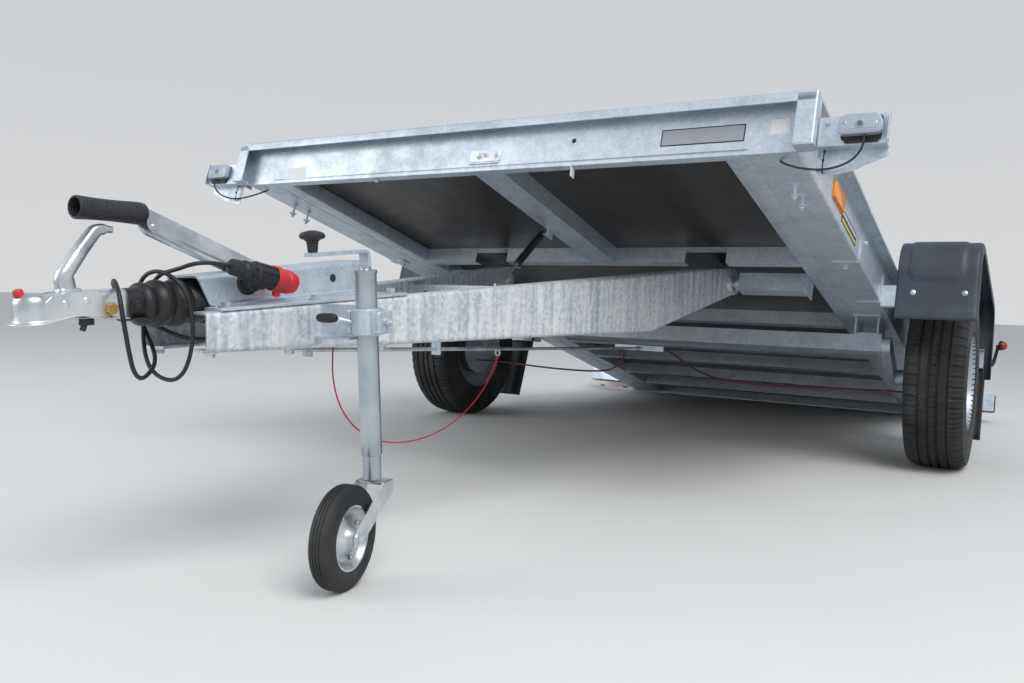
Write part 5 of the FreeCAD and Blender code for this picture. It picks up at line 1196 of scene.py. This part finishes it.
gusset = outline([(BED_HALF, -62), (1011, -48), (1060, -26), (1089, -14), (1084, 5), (BED_HALF, 14)], 8)
tail_plate_v, tail_plate_w = (TAIL_LAMP_FRONT - 4.6, TAIL_LAMP_FRONT - 0.2), (TAIL_LAMP_LOW, TAIL_LAMP_HIGH)
bracket_parts += [
    run_along(gusset, GUSSET_V, GUSSET_V + GUSSET_SHEET, 1, 0.5),
    block((BED_HALF + 2, 1086), (LAMP_PLATE_V + 0.5, GUSSET_V + 2), (3, 5.4), 4, 0.4),
    block((RAIL_WEB_X, TAIL_LAMP_OUT - 4), tail_plate_v, tail_plate_w, 6, 0.8, axis=1),
    block((RAIL_WEB_X, RAIL_WEB_X + 4), (tail_plate_v[0], -92), tail_plate_w, 4, 0.8, axis=0)]
bracket_parts += bolt((BED_HALF + 22, LAMP_PLATE_V, 58), (0, -1, 0), 8, 4, 7)
both_sides("lamp_and_guard_brackets_", bracket_parts, steel, "chassis", "galvanised",
           nodes=("side_brackets_",), place=on_bed)


# The lamps: moulded lenses with prisms behind a smooth skin, on black rubber or plastic backs. The front
# ones are clear, the side reflectors amber, and the tail lamps red with an amber end.
def lens_finish(name, light, dark, pitch, relief=0.3):
    """Glossy moulded plastic with straight prisms behind its face, one per pitch in metres."""
    lens = Finish(name, Roughness=0.14)
    bands = lens.add("TexWave", {"bands_direction": "X"}, {"Vector": lens.place(), "Scale": 0.314 / pitch},
                     out="Fac")
    lens.feed(Base_Color=lens.blend(bands * 0.6 + 0.4 * lens.noise(60.0), dark, light),
              Roughness=0.10 + 0.12 * lens.noise(90.0))
    lens.bump(bands, relief, 0.0008)
    return lens


clear_lens = lens_finish("clear_lens", shade(178, 186, 200), shade(152, 162, 178), 0.003, relief=0.08)
eye_lens = lens_finish("eye_lens", shade(104, 118, 142), shade(70, 84, 108), 0.003, relief=0.05)
amber_lens = lens_finish("amber_lens", shade(255, 160, 2), shade(250, 134, 0), 0.003)
red_lens = lens_finish("red_lens", shade(206, 34, 34), shade(150, 14, 18), 0.004)


def domed(section, low, high, axis, depth=3.0, towards=-1):
    """A cover of one outline from low to high whose far face crowns: its rings step inward as a quarter
    circle of the given depth. The far face is at low when towards is -1, and at high otherwise."""
    share = np.sin(np.linspace(0, np.pi / 2, 6))
    far, near = (low, high) if towards < 0 else (high, low)
    rings = [np.insert(section, axis, near, axis=1)]
    for t in np.linspace(0, np.pi / 2, 6):
        rings.append(np.insert(inset(section, depth * (1 - math.cos(t))), axis,
                               far - towards * depth * (1 - math.sin(t)), axis=1))
    return np.stack(rings), True, True


MARKER_FACE, MARKER_BACK, EYE_X, EYE_W = FRONT + 4.0, FRONT + 26.0, 1031.0, 42.0
marker_edge = outline([(986, 19), (1076, 19), (1077, 46), (1068, 67), (996, 68), (985, 56)], 14)
marker_lens = [domed(marker_edge, MARKER_FACE + 1, MARKER_BACK - 7, 1, 4.0),
               lathe([(0, 0), (0, 10), (1.6, 10), (2, 9), (2, 0)], (EYE_X, MARKER_FACE + 1, EYE_W), (0, -1, 0),
                     sides=28)]
marker_lens += [block((999, 1066), (MARKER_FACE + 0.4, MARKER_FACE + 2), (w, w + 2.4), 1, 0.3, axis=1)
                for w in (25, 30)]
marker_back = [block((990, 1074), (MARKER_BACK - 8, MARKER_BACK - 0.3), (13, 66), 6, 1, axis=1),
               block((997, 1069), (MARKER_BACK - 6, MARKER_BACK - 0.3), (6, 20), 5, 1, axis=1)]
marker_eye = [lathe([(0, 0), (0, 6.8), (1.2, 6), (2.2, 3.4), (2.6, 0)], (EYE_X, MARKER_FACE - 1, EYE_W),
                    (0, -1, 0), sides=28)]
marker_screws = [lathe([(0, 0), (0, 3.6), (0.8, 3.6), (1.6, 2.4), (1.6, 1.2), (0.6, 1.2), (0.6, 0)],
                       (x, MARKER_FACE + 1.6, w), (0, -1, 0), sides=18) for x, w in ((998, 45), (1062, 42))]
REFLECTOR_FRONT, REFLECTOR_BACK = -3033.0, -2903.0
REFLECTOR_LOW, REFLECTOR_HIGH, BORDER = 35.0, 87.0, 3.0
lens_v = (REFLECTOR_FRONT + BORDER, REFLECTOR_BACK - BORDER)
lens_w = (REFLECTOR_LOW + BORDER, REFLECTOR_HIGH - BORDER)


def rectangle(x, y):
    """Corners of a rectangle between two pairs of coordinates."""
    return [(x[0], y[0]), (x[1], y[0]), (x[1], y[1]), (x[0], y[1])]


reflector_lens = [domed(outline(rectangle(lens_v, lens_w), 5), RAIL_WEB_X + 2, RAIL_WEB_X + 8, 0, 2.5, 1)]
reflector_back = [block((RAIL_WEB_X, RAIL_WEB_X + 4), (REFLECTOR_FRONT, REFLECTOR_BACK),
                        (REFLECTOR_LOW, REFLECTOR_HIGH), 5, 1, axis=0)]
tail_x = (BED_HALF + 4.0, TAIL_LAMP_OUT)
SPLIT_X, TAIL_BASE, TAIL_FACE = tail_x[0] + 150, -129.0, -95.0
tail_back = [block(tail_x, (TAIL_LAMP_FRONT, TAIL_BASE + 1), (TAIL_LAMP_LOW, TAIL_LAMP_HIGH), 10, 3, axis=1)]
tail_red, tail_amber = ([domed(outline(rectangle(x, (TAIL_LAMP_LOW + 2, TAIL_LAMP_HIGH - 2)), 8),
                               TAIL_BASE, TAIL_FACE, 1, 5.0, 1)]
                        for x in ((tail_x[0] + 2, SPLIT_X - 0.6), (SPLIT_X + 0.6, tail_x[1] - 2)))
tail_mirror = [lathe([(0, 0), (0, 27), (2, 26), (2, 0)], (tail_x[0] + 44, TAIL_FACE - 1.5, 67), (0, 1, 0),
                     sides=3, phase=0.5)]
arm_foot = np.array([GUARD_OUT, WHEEL_V + 431, WHEEL_W + 175])
arm_head = np.array([GUARD_OUT + 20, WHEEL_V + 404, WHEEL_W + 243])
arm_run = float(np.linalg.norm(arm_head - arm_foot - [5, 0, 0]))
arm_parts = [lathe([(0, 0), (0, 15), (3, 14.6), (6, 11), (8, 7), (8, 0)], arm_foot, (1, 0, 0), sides=32),
             lathe([(0, 0), (0, 7.5), (12, 6.4), (arm_run - 14, 6), (arm_run - 4, 8), (arm_run, 9),
                    (arm_run, 0)], arm_foot + [5, 0, 0], arm_head - arm_foot - [5, 0, 0], sides=20),
             lathe([(6, 0), (6, 18), (8, 19), (16, 19), (18, 18), (18, 0)], arm_head - [4, 0, 0], (1, 0, 0),
                   sides=40)]
ball_run = np.linspace(-1, 1, 15)
arm_ball = [lathe(np.column_stack([18 + 18 * ball_run, 17.6 * np.sqrt(1 - ball_run ** 2)]).tolist(),
                  arm_head - [4, 0, 0], (1, 0, 0), sides=40)]
for name, parts, finish, slot, nodes in (
        ("front_lamp_lens_", marker_lens, clear_lens, "clear", ("marker_lamp_",)),
        ("front_lamp_back_", marker_back, rubber, "rubber", ()),
        ("front_lamp_eye_", marker_eye, eye_lens, "clear", ()),
        ("front_lamp_screws_", marker_screws, bright, "zinc", ()),
        ("reflector_lens_", reflector_lens, amber_lens, "amber", ("side_reflector_",)),
        ("reflector_back_", reflector_back, amber_lens, "amber", ()),
        ("tail_lamp_back_", tail_back, moulded, "plastic", ("tail_lamp_",)),
        ("tail_lens_red_", tail_red + tail_mirror, red_lens, "red", ()),
        ("tail_lens_amber_", tail_amber, amber_lens, "amber", ()),
        ("side_lamp_arm_", arm_parts, rubber, "rubber", ("arm_lamp_",)),
        ("side_lamp_ball_", arm_ball, red_lens, "red", ())):
    both_sides(name, parts, finish, "chassis", slot, nodes=nodes, place=on_bed)


# The number plate: white painted aluminium with a pressed rim, left blank, held by black plastic clips
# behind the tail rail's right end.
PLATE_X, PLATE_W = (-1245.0, -725.0), (8.0, 118.0)
plate_white = speckled("plate_white", 14.0, shade(214, 216, 216), shade(228, 229, 228), 0.26, 0.16, 40.0)
plate_edge = outline(rectangle(PLATE_X, PLATE_W), 10, 6)
plate_rows = [np.insert(inset(plate_edge, depth), 1, v, axis=1) for depth, v in
              ((3.4, 0.9), (2.6, 0.2), (1, 0.1), (0, 0.8), (0, 2.2), (1, 2.9), (2.6, 2.8), (3.4, 2.1))]
piece("blank_plate", [(np.stack(plate_rows), True, True)], plate_white, "chassis", "plate",
      nodes=("number_plate",), place=on_bed)
clip_parts = [block((x - 16, x + 16), (-1.2, 3.0), (w - 4, w + 4), 2, 0.6, axis=1)
              for x in (-1150, -985, -820) for w in (13, 113)]
piece("plate_clips", clip_parts, moulded, "chassis", "plastic", place=on_bed)


# Fittings of the side rails: studs with nuts under their feet, angles that stiffen them, the mudguards'
# bolts and screws, a plastic tie round each lamp's gusset and lead, and a blank striped tape.
STUD_LONG = 46.0


def stud(x, v):
    """Threaded stud that hangs from a foot, with a nut above and a big washer and nut near its end."""
    rows = np.arange(0, STUD_LONG, 1.2)
    thread_rows = np.column_stack([rows, 4.0 - 0.45 * (np.arange(len(rows)) % 2)]).tolist()
    return ([lathe([(0, 0)] + thread_rows + [(STUD_LONG, 0)], (x, v, 0), (0, 0, -1), sides=14)]
            + bolt((x, v, -0.2), (0, 0, -1), 13, 6, 9)
            + bolt((x, v, 14 - STUD_LONG), (0, 0, -1), 13, 6, 12))


fitting_parts = stud(853, -3209) + stud(855, -3141)
fitting_parts += bolt((857, -2579, -3.6), (0, 0, -1), 13, 7, 11)
fitting_parts += bolt((RAIL_WEB_X + 4.4, -2580, 70), (1, 0, 0), 13, 7, 11)
for v, foot_x in ((-2600.0, 826.0), (-2180.0, 823.0)):
    fitting_parts.append(folded([(foot_x, -2), (RAIL_WEB_X + 2, -2), (RAIL_WEB_X + 2, 92)], 4, 5,
                                v - 22, v + 22, 1, 0.6))
guard_screws = []
for sign in (-1, 1):
    fitting_parts += bolt((RAIL_WEB_X, WHEEL_V + sign * (GUARD_HALF - 24), WHEEL_W + 190), (1, 0, 0),
                          13, 7, 10)
    guard_screws += [lathe([(0, 0), (0, 9), (1.2, 9), (1.8, 6.5), (3.6, 5.4), (4.6, 2.6), (4.6, 0)],
                           (x, WHEEL_V + sign * (GUARD_HALF - 5.4), WHEEL_W + GUARD_END + 92), (0, sign, 0),
                           sides=24) for x in (GUARD_IN + 54, GUARD_OUT - 42)]
TIE_X, TIE_WIDE, TIE_FRONT = 952.0, 2.8, -3379.6
tie_skin = outline(rectangle((TIE_FRONT, GUSSET_V + 3.4), (-50, 2)), 3)
tie_core = inset(tie_skin, 1.2)
tie_rings = [np.insert(loop, 0, x, axis=1) for loop, x in
             ((tie_skin, TIE_X), (tie_skin, TIE_X + TIE_WIDE), (tie_core, TIE_X + TIE_WIDE), (tie_core, TIE_X),
              (tie_skin, TIE_X))]
tie_parts = [(np.stack(tie_rings), True, False),
             block((TIE_X - 1, TIE_X + 4), (-3383, -3379), (-26, -20), 1, 0.4, axis=1)]
tape_yellow = speckled("tape_yellow", 25.0, shade(226, 200, 44), shade(240, 216, 70), 0.3, 0.14, 60.0)
tape_black = [block((RAIL_WEB_X - 0.2, RAIL_WEB_X + 0.8), (-2900, -2690), (20, 59), 2, 0.2, axis=0)]
tape_pale, tape_bright = ([block((RAIL_WEB_X, RAIL_WEB_X + 1.2), (-2892, -2698), w, 2, 0.2, axis=0)]
                          for w in ((44, 53), (25, 33)))
for name, parts, finish, slot in (("rail_fittings_", fitting_parts, steel, "galvanised"),
                                  ("guard_screws_", guard_screws, bright, "zinc"),
                                  ("cable_tie_", tie_parts, moulded, "plastic"),
                                  ("side_strip_", tape_black, moulded, "plastic"),
                                  ("side_strip_pale_", tape_pale, plate_white, "plate"),
                                  ("side_strip_yellow_", tape_bright, tape_yellow, "amber")):
    both_sides(name, parts, finish, "chassis", slot, place=on_bed)


# Fittings of the front channel: a zinc plate with a lip and three bolts, nuts, a plastic cable clip and a
# blanking plug, and a printed data strip and two stickers, which are left blank.
WEB_FACE = FRONT + FRONT_DEPTH - SHEET


def on_web(x, w, face=0.5, back=0.0):
    """Thin label on the channel's web, its face and back so far ahead of it."""
    return block(x, (WEB_FACE - face, WEB_FACE - back), w, 2, 0.15, axis=1)


front_fittings = [block((-8, 92), (WEB_FACE - 3, WEB_FACE + 0.5), (26, 60), 4, 0.6, axis=1),
                  block((-10, 88), (WEB_FACE - 6, WEB_FACE), (20, 23), 1, 0.4, axis=1)]
for spot, axis, sizes in (((22, WEB_FACE - 3, 43), (0, -1, 0), (13, 7, 10, 8)),
                          ((44, WEB_FACE - 3, 45), (0, -1, 0), (10, 6, 8, 14)),
                          ((78, WEB_FACE - 3, 44), (0, -1, 0), (8, 4, 9)),
                          ((-100, FRONT + 20, RAIL_HEIGHT - 3.2), (0, 0, -1), (13, 6, 9)),
                          ((-352, WEB_FACE + 16, -0.4), (0, 0, -1), (10, 6, 8))):
    front_fittings += bolt(spot, axis, *sizes)
label_grey = speckled("label_grey", 30.0, shade(150, 154, 160), shade(162, 166, 172), 0.34, 0.12, 50.0)
for name, parts, finish, slot in (
        ("front_fittings", front_fittings, bright, "zinc"),
        ("cable_clip", [folded([(296, -0.8), (320, -0.8), (322, -30)], 2.4, 6, WEB_FACE - 2, WEB_FACE + 18,
                               1, 0.4)], plate_white, "plastic"),
        ("blanking_plug", [lathe([(0, 0), (0, 6.5), (1.2, 6), (1.8, 3.5), (1.8, 0)], (315, WEB_FACE, 69),
                                 (0, -1, 0), sides=24)], moulded, "plastic"),
        ("data_strip_border", [on_web((560, 770), (34.5, 79))], moulded, "plastic"),
        ("data_strip", [on_web((563, 767), (37.5, 76), 0.9, 0.3)], label_grey, "plastic"),
        ("blank_stickers", [on_web((829, 873), (46, 83)), on_web((-722, -648), (10, 50))], plate_white,
         "plate")):
    piece(name, parts, finish, "chassis", slot, place=on_bed)


# The floor's screws: zinc countersunk heads in rows over the square tubes and the ribs, flush with the deck.
screw_parts = [lathe([(-0.6, 0), (-0.6, 6), (0.25, 5.8), (0.45, 5.2), (0.45, 1.8), (-0.2, 1.4), (-0.2, 0)],
                     (x, v, FLOOR_W + FLOOR_THICK), (0, 0, 1), sides=14)
               for v in np.linspace(FRONT + 120, -110, 9) for x in (-750, -375, 0, 375, 750)]
piece("floor_screws", screw_parts, bright, "chassis", "zinc", place=on_bed)


# Nuts and bolts on the drawbar: the base plate's bolts come through the beams' flanges with their nuts
# below, more sit under the beams, and a blanking plug sits on the left of the housing's cover.
bar_bolts = []
for sign in (-1, 1):
    for y in (-1836, -1640, -1445):
        x = sign * (beam_face(y) - 22)
        bar_bolts += bolt((x, y, beam_top(y) + 6), (0, 0, 1), 17, 9, 14, 5)
        bar_bolts += bolt((x, y, beam_top(y) - 5.1), (0, 0, -1), 17, 9, 13, 8)
    for y in (-1868, -1700, -1470):
        low = beam_low(y) if y < BEAM_CORNER_Y else BEAM_LOW_REAR
        bar_bolts += bolt((sign * (beam_face(y) - 24), y, low), (0, 0, -1), 17, 9, 13, 9)
piece("drawbar_bolts", bar_bolts, bright, "drawbar", "zinc", place=on_bar)
piece("cover_plug", [lathe([(0, 0), (0, 9), (1.5, 8.6), (2.2, 6.5), (2.2, 0)], (COVER_HALF - 0.2, -1510.0, 25),
                           (1, 0, 0), sides=28)], moulded, "drawbar", "plastic", place=on_bar)
